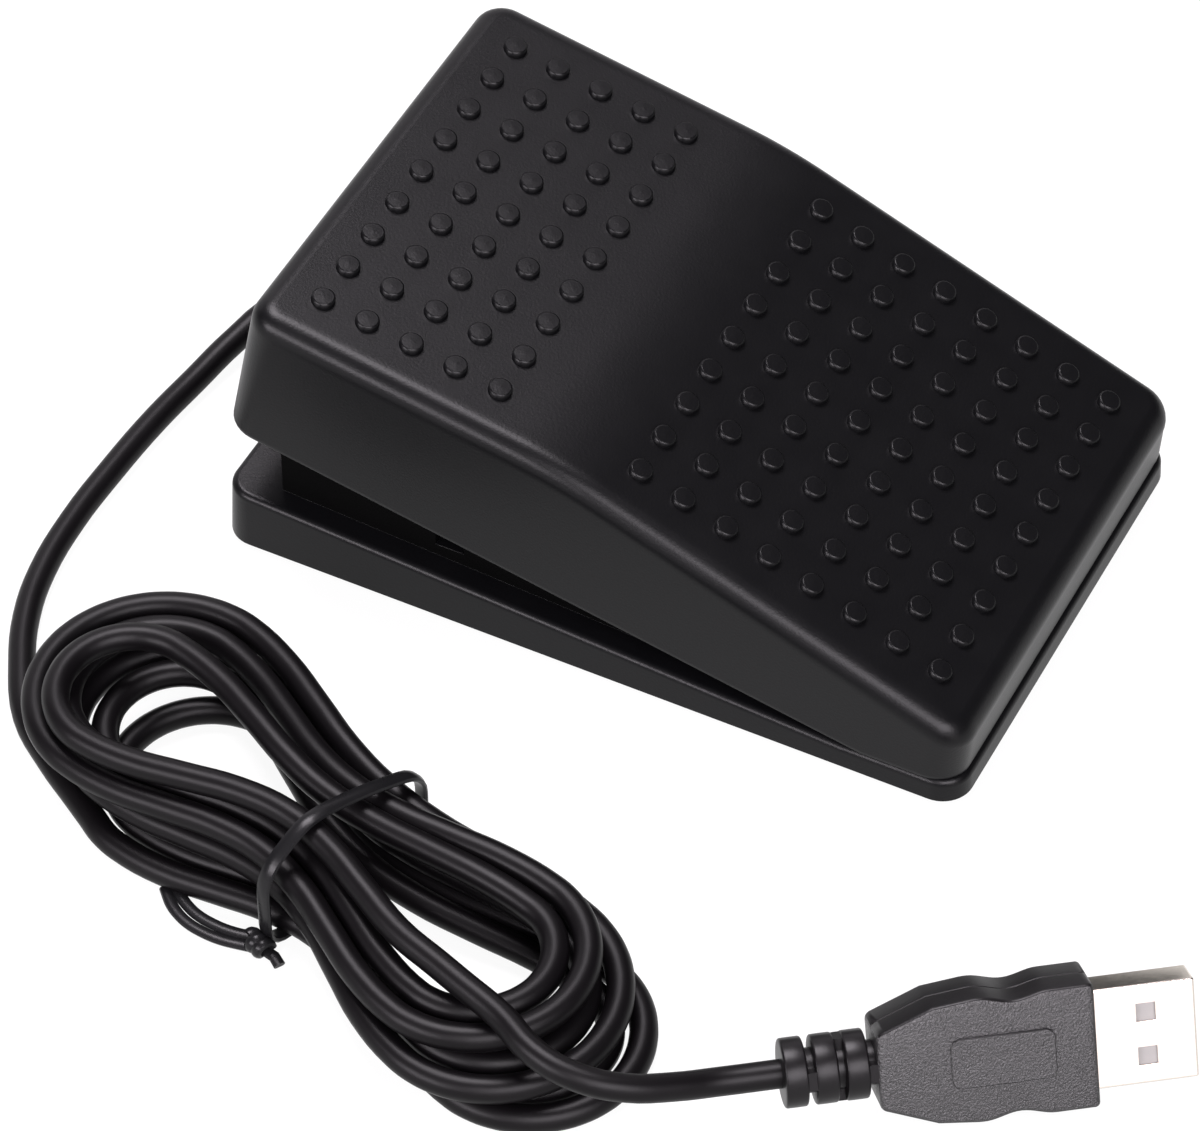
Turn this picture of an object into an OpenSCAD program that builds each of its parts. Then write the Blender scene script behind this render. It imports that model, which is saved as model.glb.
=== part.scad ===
// Foot pedal switch with a cord and plug, in millimetres. +Z is up, +X across, and +Y runs from the
// low toe end to the high end. The origin is on the floor, under the middle of the base.

/* [Base] */
// Length of the base, from the toe end to the high end
base_l = 100; // [90:1:120]
// Width of the base and of the treadle
base_w = 64; // [60:1:80]
// Radius of the base's upright corners
base_corner_r = 4; // [2:0.5:6]
// Height of the deck over the base's underside, toe end
base_low_h = 3.2; // [3:0.1:4]
// Height of the deck over the base's underside, high end
base_high_h = 8.4; // [8:0.1:10]
// Length of the level stretch of the deck at the toe end
level_l = 16; // [14:0.5:20]
// Thickness of the base's side walls
base_wall = 2.4; // [2:0.1:3]
// Thickness of the deck
deck_t = 2; // [1.6:0.1:2.2]
// Length of the solid slab at the toe end
slab_l = 22; // [21:0.5:24]
// Height of the rubber feet
foot_h = 0.8; // [0.5:0.1:1.5]
// Radius of the rubber feet
foot_r = 4.5; // [3:0.5:5]
// Distance from the base's edges to the middle of each foot
foot_inset = 8; // [7:0.5:9]

/* [Housing wall] */
// Thickness of the upright wall on the deck
housing_wall = 2; // [1.6:0.1:2.2]
// Distance from the base's side to the wall
housing_side_gap = 3.6; // [3.4:0.1:4.2]
// Distance from the base's high end to the wall
housing_high_gap = 7.2; // [6.5:0.1:9]
// Distance from the hinge to the wall at the toe end
housing_low_gap = 12; // [10:0.5:13]
// Height of the wall over the deck, toe end
housing_low_h = 9; // [8:0.5:10]
// Height of the wall over the deck, high end
housing_high_h = 16; // [15:0.5:18]
// Length of the closed deck inside the wall, high end
spring_floor_l = 16; // [15:0.5:18]

/* [Treadle] */
// Tilt of the flat part at rest, degrees
tilt = 11; // [10:0.5:12]
// Angle between the flat part and the sloped part, degrees
slope = 10.6; // [9.5:0.1:11]
// Length of the flat part
flat_l = 42.3; // [38:0.1:46]
// Height of the flat face over the hinge, square to the face
face_h = 17; // [16.5:0.1:19]
// Depth of the skirt under the hinge, square to the face
skirt_h = 4.2; // [4:0.1:4.4]
// Distance from the base's high end to the skirt's edge
high_gap = 1.25; // [1:0.05:2]
// Distance from the base's toe end to the skirt's edge
toe_gap = 1.6; // [1.4:0.1:2]
// Thickness of the treadle's walls
treadle_wall = 2.2; // [1.8:0.1:2.2]
// Radius of the treadle's edges and corners
edge_r = 3.5; // [2.5:0.5:4]
// Radius of the bend between the flat and sloped parts
bend_r = 60; // [30:5:80]
// Gap between the skirt and the level deck at rest
skirt_gap = 0.4; // [0.3:0.1:0.6]
// How far the treadle turns when it is pressed, degrees
travel = 7; // [5:0.5:7]

/* [Grip bumps] */
// Radius of a bump
bump_r = 1.5; // [1:0.1:2]
// Height of a bump
bump_h = 0.8; // [0.4:0.1:1.2]
// Spacing of the bumps across the width
bump_pitch_x = 6.2; // [5:0.1:6.4]
// Spacing of the rows on the flat part
bump_pitch_flat = 6; // [5:0.1:6.5]
// Bumps in a row
bumps_across = 9; // [3:2:9]
// Rows on the flat part
flat_rows = 5; // [2:1:5]
// Rows on the sloped part
slope_rows = 8; // [2:1:8]
// Distance from the high end of the treadle to the first row
flat_first = 7; // [6:0.5:9]
// Distance from the bend to the first row on the slope
slope_first = 8; // [7.5:0.5:9]
// Distance from the toe end of the treadle to the last row
slope_last = 7.3; // [7:0.1:9]

/* [Hinge] */
// Distance from the base's toe end to the hinge
hinge_inset = 16; // [15:0.5:17]
// Height of the hinge over the level deck
hinge_h = 5; // [4.8:0.1:5.5]
// Radius of the hinge pin
pin_r = 1.5; // [1:0.1:1.8]
// Running clearance of the treadle on the pin, at the radius
pin_play = 0.05; // [0.02:0.01:0.1]
// Radius of the eyes round the pin
eye_r = 3.4; // [3:0.1:3.8]
// Distance from the middle to the inner face of the base's posts
post_x = 17; // [12:0.5:17.5]
// Thickness of each post and of each eye on the treadle
eye_t = 4; // [3:0.1:4]
// Side clearance between posts, eyes and clips
side_play = 0.35; // [0.3:0.05:0.5]
// Thickness of the pin's clips
clip_t = 0.8; // [0.5:0.1:1]
// Radius of the pin's clips
clip_r = 2.8; // [2.4:0.1:3.2]

/* [Stops and springs] */
// Distance from the hinge to the treadle's stop pegs
peg_y = 54; // [52:0.5:56]
// Height of the stop pegs over the skirt's edge
peg_rise = 2.2; // [2:0.1:2.6]
// Radius of the stop pegs
peg_r = 1.25; // [1:0.05:1.4]
// How far the stop pegs reach into the housing wall
peg_reach = 1.6; // [1:0.1:1.6]
// Clearance round the stop pegs
peg_play = 0.35; // [0.3:0.05:0.5]
// Distance from the middle to each return spring
spring_x = 17; // [14:0.5:19]
// Distance from the housing wall's inner face to the return springs
spring_inset = 7.8; // [7.4:0.1:8.2]
// Mean radius of the spring's coils
spring_r = 4; // [3.5:0.1:4.5]
// Radius of the spring's wire
spring_wire_r = 0.45; // [0.3:0.05:0.5]
// Turns of each spring
spring_turns = 7; // [5:1:9]
// Radius of the posts inside the spring's ends
spring_post_r = 2.2; // [1.5:0.1:2.4]
// Length of the posts inside the spring's ends
spring_post_l = 4; // [3:0.5:5]
// Clearance at the spring's ends
spring_play = 0.25; // [0.2:0.05:0.3]

/* [Bottom plate and board] */
// Thickness of the bottom plate
plate_t = 1.6; // [1.6:0.1:1.8]
// Clearance round the bottom plate
plate_play = 0.2; // [0.1:0.05:0.3]
// Radius of the screws' shanks
screw_r = 1; // [0.8:0.1:1.2]
// Radius of the screws' heads
screw_head_r = 1.9; // [1.6:0.1:2.1]
// Height of the screws' heads
screw_head_h = 0.9; // [0.7:0.1:1]
// Clearance of the screws in their holes, at the radius
screw_play = 0.05; // [0.03:0.01:0.1]
// Length of the plate screws' shanks
plate_screw_l = 5; // [4:0.5:5.5]
// Radius of the screw bosses
boss_r = 3; // [2.5:0.1:3.2]
// Height of the corner bosses over the plate
boss_h = 7; // [6:0.5:8]
// Distance from the middle to the plate screws at the high end
high_screw_x = 14; // [13.5:0.5:15]
// Distance from the base's high end to its plate screws
high_screw_gap = 7; // [6:0.5:8]
// Width of the circuit board
board_w = 38; // [34:0.5:39]
// Distance from the circuit board to the deck's edge, where the wires rise
board_end_gap = 4.8; // [4.5:0.1:6]
// Thickness of the circuit board
board_t = 1.6; // [1.2:0.1:1.8]
// Distance from the hinge to the circuit board
board_y = 18; // [17:0.5:18.5]
// Height of the board's posts over the plate
board_post_h = 3.6; // [3.4:0.1:4]
// Radius of the board's posts
board_post_r = 2.5; // [2:0.1:3]
// Distance from the board's edges to its screws
board_screw_inset = 3.2; // [3:0.1:4]
// Length of the board screws' shanks
board_screw_l = 4; // [3:0.5:4.5]

/* [Switch] */
// Width of the switch
switch_w = 5.8; // [5:0.1:7]
// Length of the switch
switch_l = 12.8; // [12:0.1:14]
// Height of the switch
switch_h = 6.5; // [6:0.1:7]
// Distance from the board's toe end to the switch
switch_inset = 1.5; // [1:0.1:2]
// Distance from the switch's end to the lever's pivot
pivot_inset = 1.5; // [1.2:0.1:1.8]
// Height of the pivot over the switch
pivot_h = 0.5; // [0.5:0.05:0.6]
// Radius of the lever's pivot
pivot_r = 0.3; // [0.2:0.05:0.3]
// Thickness of the switch's ears beside the lever
ear_t = 0.5; // [0.4:0.05:0.6]
// Length of the lever
lever_l = 18; // [17.5:0.5:20]
// Thickness of the lever
lever_t = 0.4; // [0.3:0.05:0.4]
// Angle of the lever at rest, degrees
lever_rest = 17.5; // [17.2:0.1:18.5]
// Distance from the pivot to the treadle's post
push_y = 15; // [14.5:0.1:15.5]
// Radius of the treadle's post
push_r = 2; // [1.5:0.1:2.2]
// Gap between the treadle's post and the lever at rest
push_gap = 0.38; // [0.35:0.01:0.5]
// Distance from the pivot to the plunger
plunger_y = 4; // [3.5:0.1:4.2]
// Length of the plunger along the switch
plunger_l = 1.2; // [1:0.1:1.4]
// Width of the plunger
plunger_w = 2.6; // [2:0.1:3]
// Height of the plunger over the switch at rest
plunger_h = 1.05; // [0.95:0.01:1.1]
// Depth of the plunger's guide in the switch
guide_d = 3.6; // [3.4:0.1:4]
// Clearance round the plunger
plunger_play = 0.1; // [0.05:0.01:0.15]
// Width of a terminal
terminal_w = 1.2; // [0.8:0.1:1.4]
// Thickness of a terminal
terminal_t = 0.5; // [0.4:0.1:0.7]
// Spacing of the terminals
terminal_pitch = 5; // [4.5:0.1:5.2]

/* [Parts on the board] */
// Width of the controller chip's body
chip_w = 4; // [3.5:0.1:5]
// Length of the controller chip's body
chip_l = 9; // [8:0.5:10]
// Height of the controller chip
chip_h = 1.6; // [1.2:0.1:2]
// Spacing of the chip's legs
chip_pitch = 1.27; // [1:0.01:1.27]
// Length of the clock crystal
crystal_l = 10; // [8:0.5:11]
// Width of the clock crystal
crystal_w = 4.4; // [4:0.1:5]
// Height of the clock crystal
crystal_h = 3.5; // [3:0.1:4]
// Length of a resistor or capacitor
small_part_l = 2; // [1.6:0.1:2.4]
// Number of resistors and capacitors
small_parts = 5; // [2:1:5]
// Spacing of the resistors and capacitors
small_part_pitch = 3.2; // [3:0.1:3.6]
// Width of the wire header
header_w = 10; // [9.5:0.5:11]
// Length of the wire header
header_l = 5; // [4.5:0.1:5.5]
// Height of the wire header
header_h = 5.5; // [5:0.1:6]

/* [Cord] */
// Thickness of the cord
cord_d = 3.4; // [3:0.1:3.5]
// Distance from the middle to the cord's exit
exit_x = 6; // [3:0.5:8]
// Height of the grommet's flange
flange_h = 4.2; // [3.9:0.1:4.2]
// Width of the grommet's flange
flange_w = 8; // [6:0.5:9]
// Thickness of the grommet's flange
flange_t = 1.4; // [1:0.1:1.6]
// Radius of the grommet's neck in the wall
neck_r = 2; // [1.8:0.1:2.1]
// Radius of the grommet's collar outside
collar_r = 2.9; // [2.4:0.1:3]
// Length of the grommet's collar
collar_l = 4; // [3:0.5:5]
// Clearance of the grommet and cord in the base
cord_play = 0.1; // [0.05:0.01:0.15]
// Radius of an inner wire
wire_r = 0.5; // [0.4:0.05:0.55]
// Spacing of the wires at the header
wire_pitch = 2; // [1.6:0.1:2]

/* [Hank] */
// Half the length of the hank's straight runs
run_half = 27.2; // [25:0.1:29]
// Radius of the hank's innermost fold
fold_r = 8; // [7:0.5:9]
// Gap between neighbouring turns, where the runs are straight
turn_gap = 0.4; // [0.4:0.05:0.6]
// Gap between the innermost runs at the waist
waist_gap = 1.2; // [0.8:0.1:6]
// Width of the tie's strip
tie_w = 2; // [1.5:0.1:2.5]
// Thickness of the tie's strip
tie_t = 0.8; // [0.6:0.1:1]
// Clearance between the tie and the turns
tie_play = 0.3; // [0.2:0.05:0.5]

/* [Plug] */
// Length of the bend relief
relief_l = 10.5; // [9:0.5:12]
// Radius of the bend relief's rings
relief_r = 4; // [3.6:0.1:4.2]
// Radius of the bend relief between its rings
relief_core_r = 2.6; // [2.2:0.1:3]
// Number of rings
relief_rings = 3; // [2:1:4]
// Gap between the rings
relief_gap = 0.8; // [0.5:0.1:1]
// Length of the grip
grip_l = 25; // [22:0.5:28]
// Width of the grip
grip_w = 15; // [14.5:0.1:16]
// Thickness of the grip
grip_t = 8; // [7.5:0.1:9]
// Width of the grip's rear end
grip_rear_w = 9; // [8.5:0.1:11]
// Bevel along the grip's edges
grip_bevel = 1.2; // [0.6:0.1:1.6]
// Depth of the finger notches
notch_d = 0.8; // [0.4:0.1:1]
// Height of the raised panels
panel_h = 0.3; // [0.2:0.05:0.4]
// Width of the plug's shell
shell_w = 12; // [12:0.1:12.2]
// Thickness of the plug's shell, outside
shell_t = 4.5; // [4.4:0.1:4.6]
// Thickness of the shell's sheet
shell_wall = 0.35; // [0.3:0.05:0.4]
// Length of the shell outside the grip
shell_l = 11.8; // [11.5:0.1:12.2]
// Length of the shell inside the grip
shell_in_l = 6; // [5:0.5:8]
// Clearance between the shell, the grip and the tongue
shell_play = 0.05; // [0.03:0.01:0.1]
// Side of the square holes in the shell
latch_hole = 2.2; // [1.8:0.1:2.6]
// Thickness of the tongue
tongue_t = 1.9; // [1.7:0.1:2]
// Width of a contact
contact_w = 1; // [0.8:0.1:1.2]
// Spacing of the contacts
contact_pitch = 2.4; // [2.2:0.1:2.5]

/* [Hidden] */
$fn = 48;
eps = 0.5;

// Base
toe_y = -base_l / 2;
high_y = base_l / 2;
level_y = toe_y + level_l;
deck_rise = (base_high_h - base_low_h) / (base_l - level_l);
level_z = foot_h + base_low_h;
plate_z = foot_h + plate_t;
cavity_y = [toe_y + slab_l, high_y - base_wall];
cavity_w = base_w - 2 * base_wall;
foot_at = [for (sx = [-1, 1], sy = [-1, 1]) [sx * (base_w / 2 - foot_inset), sy * (base_l / 2 - foot_inset)]];
function deck_z(y) = level_z + max(0, y - level_y) * deck_rise;

// Hinge, and places on the treadle: y along its flat face and z square to it, both from the hinge
hinge_y = toe_y + hinge_inset;
hinge_z = level_z + hinge_h;
function on_floor(y, z) = [hinge_y + y * cos(tilt) - z * sin(tilt), hinge_z + y * sin(tilt) + z * cos(tilt)];
function on_face(y, z) = [(y - hinge_y) * cos(tilt) + (z - hinge_z) * sin(tilt),
    (z - hinge_z) * cos(tilt) - (y - hinge_y) * sin(tilt)];
function turned(p, a) = [hinge_y + (p[0] - hinge_y) * cos(a) + (p[1] - hinge_z) * sin(a),
    hinge_z + (p[1] - hinge_z) * cos(a) - (p[0] - hinge_y) * sin(a)];
eye_x = post_x + eye_t + side_play;
clip_x = eye_x + eye_t + side_play;
pin_l = 2 * (clip_x + clip_t);

// Treadle outline
reach = (base_l - hinge_inset - high_gap - skirt_h * sin(tilt)) / cos(tilt);
toe = (hinge_inset - toe_gap + skirt_h * sin(tilt)) / cos(tilt);
bend_y = reach - flat_l;
inner_w = base_w - 2 * treadle_wall;
roof_h = face_h - treadle_wall;
bump_pitch_slope = ((bend_y + toe) / cos(slope) - slope_first - slope_last) / (slope_rows - 1);
function face_at(y) = face_h - max(0, bend_y - y) * tan(slope);
function roof_at(y) = face_at(y) - treadle_wall / cos(slope);

// Housing wall, its inside, and the deck's opening inside it
housing_x = base_w / 2 - housing_side_gap;
housing_y = [hinge_y + housing_low_gap, high_y - housing_high_gap];
well_x = housing_x - housing_wall;
well_y = [housing_y[0] + housing_wall, housing_y[1] - housing_wall];
opening_y = [well_y[0], well_y[1] - spring_floor_l];

// Stop pegs, at rest and pressed
peg_at = on_floor(peg_y, peg_rise - skirt_h);
peg_low = turned(peg_at, travel);

// Return springs
spring_at_y = well_y[1] - spring_inset;
spring_z = deck_z(spring_at_y + spring_r + spring_wire_r) + spring_play;
function along_roof(y) = (y - hinge_y + roof_h * sin(tilt)) / cos(tilt);
spring_roof = on_floor(along_roof(spring_at_y - spring_r - spring_wire_r), roof_h);
spring_top = spring_roof[1] - spring_play;

// Bottom plate, board and their screws
low_boss = [well_x - boss_r + eps, well_y[0] + boss_r - eps];
plate_screw_at = [for (sx = [-1, 1]) each [[sx * low_boss[0], low_boss[1]],
    [sx * high_screw_x, high_y - high_screw_gap]]];
board_at_y = hinge_y + board_y;
board_l = opening_y[1] - board_end_gap - board_at_y;
board_z = plate_z + board_post_h;
board_top = board_z + board_t;
board_screw_at = [for (sx = [-1, 1], y = [board_screw_inset, board_l - board_screw_inset])
    [sx * (board_w / 2 - board_screw_inset), board_at_y + y]];

// Switch
switch_y = board_at_y + switch_inset;
switch_top = board_top + switch_h;
pivot_y = switch_y + pivot_inset;
pivot_z = switch_top + pivot_h;
lever_w = switch_w - 2 * (ear_t + plunger_play);
push_tip = on_face(pivot_y + push_y,
    pivot_z + push_y * tan(lever_rest) + lever_t / 2 / cos(lever_rest) + push_gap);
small_part_at = [-switch_w / 2 - 2.6, board_at_y + 3];
terminal_at = [for (k = [-1, 0, 1]) switch_y + switch_l / 2 + k * terminal_pitch];

// Cord inside the base
cord_r = cord_d / 2;
cable_z = plate_z + cord_play + flange_h / 2;
flange_y = high_y - base_wall - flange_t;
cable_end_y = opening_y[1] - eps;
header_at = [exit_x - header_w / 2, board_at_y + board_l - header_l - 2];
wire_spread = cord_r / 2.8;

// Hank: places along it are counted in turns, each turn starting half way along the run nearest the base.
// Its layers lie turned and shifted a little against each other, as loosely folded cord does.
hank_at = [-75.1, 9.5];
hank_turn = -18.2;
layer_turns = [1.6, -2.4, 0.5, 7];
layer_shifts = [-4.2, 1.2, 4.2, 4.5];
hank_rings = 24;
hank_from = 9;
hank_to = 6 * hank_rings + 14;
half_run = 2 / hank_rings;
reversals = [2, 4, 6];
turn_step = cord_d + turn_gap;
layer_step = cord_d + turn_gap;
tie_lift = tie_t + tie_play;
waist_in = fold_r - cord_r - waist_gap / 2;
function turn_radius(s) = fold_r + turn_step * (s < 2 ? 2 - s : s < 4 ? s - 2 : s < 6 ? 6 - s : s - 6);
function smooth(f) = let (g = min(1, max(0, f))) g * g * (3 - 2 * g);
function layers_passed(s, k) = smooth((s - reversals[k]) / half_run / 2 + 0.5);
function layered(v, s) = v[0] + (v[1] - v[0]) * layers_passed(s, 0) + (v[2] - v[1]) * layers_passed(s, 1)
    + (v[3] - v[2]) * layers_passed(s, 2);
function climbed(s) = layered([0, layer_step, 2 * layer_step, 3 * layer_step], s);
function run_place(f, w) = [w - waist_in * pow(cos(90 * f), 2), run_half * f, tie_lift * pow(cos(90 * f), 2)];
function fold_place(f, w) = [w * cos(180 * f), run_half + w * sin(180 * f), 0];
function hank_place(s) = let (
        u = s - floor(s),
        w = turn_radius(s),
        flip = (u >= 0.5 - half_run && u < 1 - half_run) ? -1 : 1,
        p = u < half_run ? run_place(u / half_run, w)
            : u < 0.5 - half_run ? fold_place((u - half_run) / (0.5 - 2 * half_run), w)
            : u < 0.5 + half_run ? run_place((u - 0.5) / half_run, w)
            : u < 1 - half_run ? fold_place((u - 0.5 - half_run) / (0.5 - 2 * half_run), w)
            : run_place((u - 1) / half_run, w),
        yaw = hank_turn + layered(layer_turns, s),
        shift = layered(layer_shifts, s))
    [hank_at[0] + flip * (p[0] * cos(yaw) - p[1] * sin(yaw)) - shift * sin(hank_turn),
     hank_at[1] + flip * (p[0] * sin(yaw) + p[1] * cos(yaw)) + shift * cos(hank_turn),
     cord_r + climbed(s) + p[2]];
hank_turns = [for (k = [hank_from:hank_to]) hank_place(k / hank_rings)];
tie_low = tie_t / 2;
tie_slack = [0.8, 1.6];
tie_right = turn_radius(4) - waist_in + cord_r + tie_slack[0] + tie_play + tie_t / 2;
tie_left = turn_radius(4.5) - waist_in + cord_r + tie_slack[1] + tie_play + tie_t / 2;
function waist_top(s) = cord_d + climbed(s) + tie_lift + tie_play + tie_t / 2;
hank_in = unit(hank_turns[1] - hank_turns[0]);
hank_out = unit(hank_turns[len(hank_turns) - 1] - hank_turns[len(hank_turns) - 2]);
hank_start = hank_turns[0] - cord_d * hank_in;
hank_end = hank_turns[len(hank_turns) - 1] + cord_d * hank_out;
hank_path = concat([hank_start], hank_turns, [hank_end]);

// Plug: its axis lies level and it is rolled onto one edge, with the bend relief's end here
plug_at = [-82, -50.5];
plug_yaw = -54;
plug_roll = 60;
plug_z = (grip_w / 2) * sin(plug_roll) + (grip_t / 2 - grip_bevel) * cos(plug_roll);
plug_dir = [cos(plug_yaw), sin(plug_yaw), 0];
plug_start = [plug_at[0], plug_at[1], plug_z];
grip_end = relief_l + grip_l;
shell_end = grip_end + shell_l;

// The cord's free stretches: from the grommet to the hank, and from the hank to the plug
lead_start = [exit_x, high_y + collar_l, cable_z];
lead_points = [[3.5, 61.5, 3.8], [-3, 64, 2.6], [-11, 65.5, 1.8], [-19, 66.5, 1.7], [-29, 67, 1.7],
    [-39, 67, 1.7], [-48, 66, 1.7], [-55.3, 63.9, 1.7], [-62.3, 60.4, 1.7], [-69.3, 55.6, 1.7]];
tail_points = [[-95.2, -26.3, 12.8], [-95.7, -31.8, 12.2], [-93.8, -36.9, 11], [-90.2, -41, 9.4]];
lead_path = concat([lead_start, lead_start + [0, cord_d, 0]], lead_points,
    [hank_start - 2 * cord_d * hank_in, hank_start]);
tail_path = concat([hank_end, hank_end + 2 * cord_d * hank_out], tail_points,
    [plug_start - 2 * cord_d * plug_dir, plug_start]);

// Tubes swept along a list of places
function unit(v) = v / norm(v);
function heading(path, i) = unit(path[min(i + 1, len(path) - 1)] - path[max(i - 1, 0)]);
function mitred(loop, k, out) = let (n = len(loop), u = unit(loop[k] - loop[(k + n - 1) % n]),
        v = unit(loop[(k + 1) % n] - loop[k]))
    loop[k] + out * [u[1] + v[1], -u[0] - v[0]] / (1 + u * v);
function least_gap(path, d, apart) = min([for (i = [0:len(path) - 1], j = [0:1:i - apart])
    norm(path[i] - path[j]) - d]);

module tube(path, r, sides, ref = [0, 0, 1]) {
    rings = len(path);
    points = [for (i = [0:rings - 1])
        let (t = heading(path, i), a = unit(cross(t, ref)), b = cross(a, t))
        for (k = [0:sides - 1]) path[i] + r * (cos(360 * k / sides) * a + sin(360 * k / sides) * b)];
    walls = [for (i = [0:rings - 2], k = [0:sides - 1])
        let (a = i * sides + k, b = i * sides + (k + 1) % sides)
        each [[a, b, b + sides], [a, b + sides, a + sides]]];
    last = (rings - 1) * sides;
    caps = [for (k = [1:sides - 2]) each [[0, k + 1, k], [last, last + k, last + k + 1]]];
    polyhedron(points, concat(walls, caps));
}

// Shapes used by several pieces
module side_profile(points, w) {
    rotate([90, 0, 90])
        linear_extrude(w, center = true)
            polygon(points);
}

module rounded_plate(w, l, r, h) {
    linear_extrude(h) {
        square([w - 2 * r, l], center = true);
        square([w, l - 2 * r], center = true);
        for (sx = [-1, 1], sy = [-1, 1])
            translate([sx * (w / 2 - r), sy * (l / 2 - r)])
                circle(r);
    }
}

module along_x(r, from, to, y, z) {
    translate([from, y, z])
        rotate([0, 90, 0])
            cylinder(r = r, h = to - from);
}

module along_y(r, from, to, x, z) {
    translate([x, from, z])
        rotate([-90, 0, 0])
            cylinder(r = r, h = to - from);
}

module block(from, to) {
    translate(from)
        cube(to - from);
}

module screw(l) {
    cylinder(r = screw_head_r, h = screw_head_h);
    translate([0, 0, screw_head_h - 0.01])
        cylinder(r = screw_r, h = l + 0.01);
}

module on_treadle() {
    translate([0, hinge_y, hinge_z])
        rotate([tilt, 0, 0])
            children();
}

module on_plug() {
    translate(plug_start)
        rotate([plug_roll, 0, plug_yaw])
            children();
}

// Base: a wedge-shaped tray with a deck, an upright wall on it, hinge posts and screw bosses
module base_body() {
    intersection() {
        translate([0, 0, foot_h])
            rounded_plate(base_w, base_l, base_corner_r, base_high_h);
        side_profile([[toe_y, foot_h], [high_y, foot_h], [high_y, deck_z(high_y)], [level_y, level_z],
            [toe_y, level_z]], base_w);
    }
}

module base_cavity() {
    y = cavity_y;
    low_z = max(deck_z(y[0]) - deck_t, plate_z + plate_play);
    side_profile([[y[0], 0], [y[1], 0], [y[1], deck_z(y[1]) - deck_t], [y[0], low_z]], cavity_w);
}

module housing() {
    y = housing_y;
    difference() {
        side_profile([[y[0], deck_z(y[0]) - eps], [y[1], deck_z(y[1]) - eps],
            [y[1], deck_z(y[1]) + housing_high_h], [y[0], deck_z(y[0]) + housing_low_h]], 2 * housing_x);
        block([-well_x, well_y[0], 0], [well_x, well_y[1], 2 * hinge_z + housing_high_h]);
        block([-base_w / 2, peg_at[0] - peg_r - peg_play, peg_low[1] - peg_r - peg_play],
            [base_w / 2, peg_low[0] + peg_r + peg_play, peg_at[1] + peg_r + peg_play]);
    }
}

module base_bosses() {
    for (s = [-1, 1]) {
        translate([s * low_boss[0], low_boss[1], plate_z])
            cylinder(r = boss_r, h = boss_h);
        translate([s * high_screw_x, high_y - high_screw_gap, plate_z])
            cylinder(r = boss_r, h = deck_z(high_y - high_screw_gap - boss_r) - deck_t / 2 - plate_z);
        translate([s * spring_x, spring_at_y, deck_z(spring_at_y) - eps])
            cylinder(r = spring_post_r, h = spring_post_l + eps);
        along_x(eye_r, s > 0 ? post_x : -post_x - eye_t, s > 0 ? post_x + eye_t : -post_x, hinge_y, hinge_z);
        block([s > 0 ? post_x : -post_x - eye_t, hinge_y - eye_r, level_z - eps],
            [s > 0 ? post_x + eye_t : -post_x, hinge_y + eye_r, hinge_z]);
    }
}

module base_tray() {
    color("#2b2a2d")
        difference() {
            union() {
                difference() {
                    base_body();
                    base_cavity();
                    block([-well_x, opening_y[0], 0], [well_x, opening_y[1], hinge_z]);
                    block([exit_x - cord_r - cord_play, opening_y[1] - eps, 0],
                        [exit_x + cord_r + cord_play, flange_y + eps, cable_z + cord_r + cord_play]);
                }
                housing();
                base_bosses();
            }
            along_x(pin_r + pin_play / 2, -base_w / 2, base_w / 2, hinge_y, hinge_z);
            along_y(neck_r + pin_play / 2, high_y - base_wall - eps, high_y + eps, exit_x, cable_z);
            for (p = plate_screw_at)
                translate([p[0], p[1], 0])
                    cylinder(r = screw_r + screw_play, h = foot_h + screw_head_h + plate_screw_l + eps);
        }
}

module bottom_plate() {
    y = cavity_y;
    color("#232225")
        difference() {
            union() {
                block([plate_play - cavity_w / 2, y[0] + plate_play, foot_h],
                    [cavity_w / 2 - plate_play, y[1] - plate_play, plate_z]);
                for (p = board_screw_at)
                    translate([p[0], p[1], plate_z - eps])
                        cylinder(r = board_post_r, h = board_post_h + eps);
            }
            for (p = plate_screw_at)
                translate([p[0], p[1], foot_h - eps]) {
                    cylinder(r = screw_r + screw_play, h = plate_t + 2 * eps);
                    cylinder(r = screw_head_r + screw_play, h = screw_head_h + eps);
                }
            for (p = board_screw_at)
                translate([p[0], p[1], board_top - board_screw_l - eps])
                    cylinder(r = screw_r + screw_play, h = board_screw_l + eps);
        }
}

module plate_screws() {
    color("silver")
        for (p = plate_screw_at)
            translate([p[0], p[1], foot_h])
                screw(plate_screw_l);
}

module rubber_feet() {
    color("#1a1a1a")
        for (p = foot_at)
            translate([p[0], p[1], 0])
                cylinder(r = foot_r, h = foot_h);
}

// Hinge pin with a clip at each end
module hinge_pin() {
    color("silver")
        along_x(pin_r, -pin_l / 2, pin_l / 2, hinge_y, hinge_z);
}

module pin_clips() {
    color("gray")
        for (s = [-1, 1])
            difference() {
                along_x(clip_r, s > 0 ? clip_x : -clip_x - clip_t, s > 0 ? clip_x + clip_t : -clip_x,
                    hinge_y, hinge_z);
                along_x(pin_r + pin_play / 2, -base_w, base_w, hinge_y, hinge_z);
            }
}

// Return springs between the deck and the treadle's roof
module return_springs() {
    coil_h = spring_top - spring_z - 2 * spring_wire_r;
    steps = 8 * spring_turns;
    path = [for (k = [0:steps]) [spring_r * cos(360 * k / 8), spring_r * sin(360 * k / 8),
        spring_wire_r + coil_h * k / steps]];
    echo(least_gap_in_a_spring = least_gap(path, 2 * spring_wire_r, 5));
    color("lightgray")
        for (s = [-1, 1])
            translate([s * spring_x, spring_at_y, spring_z])
                tube(path, spring_wire_r, 6);
}

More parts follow.
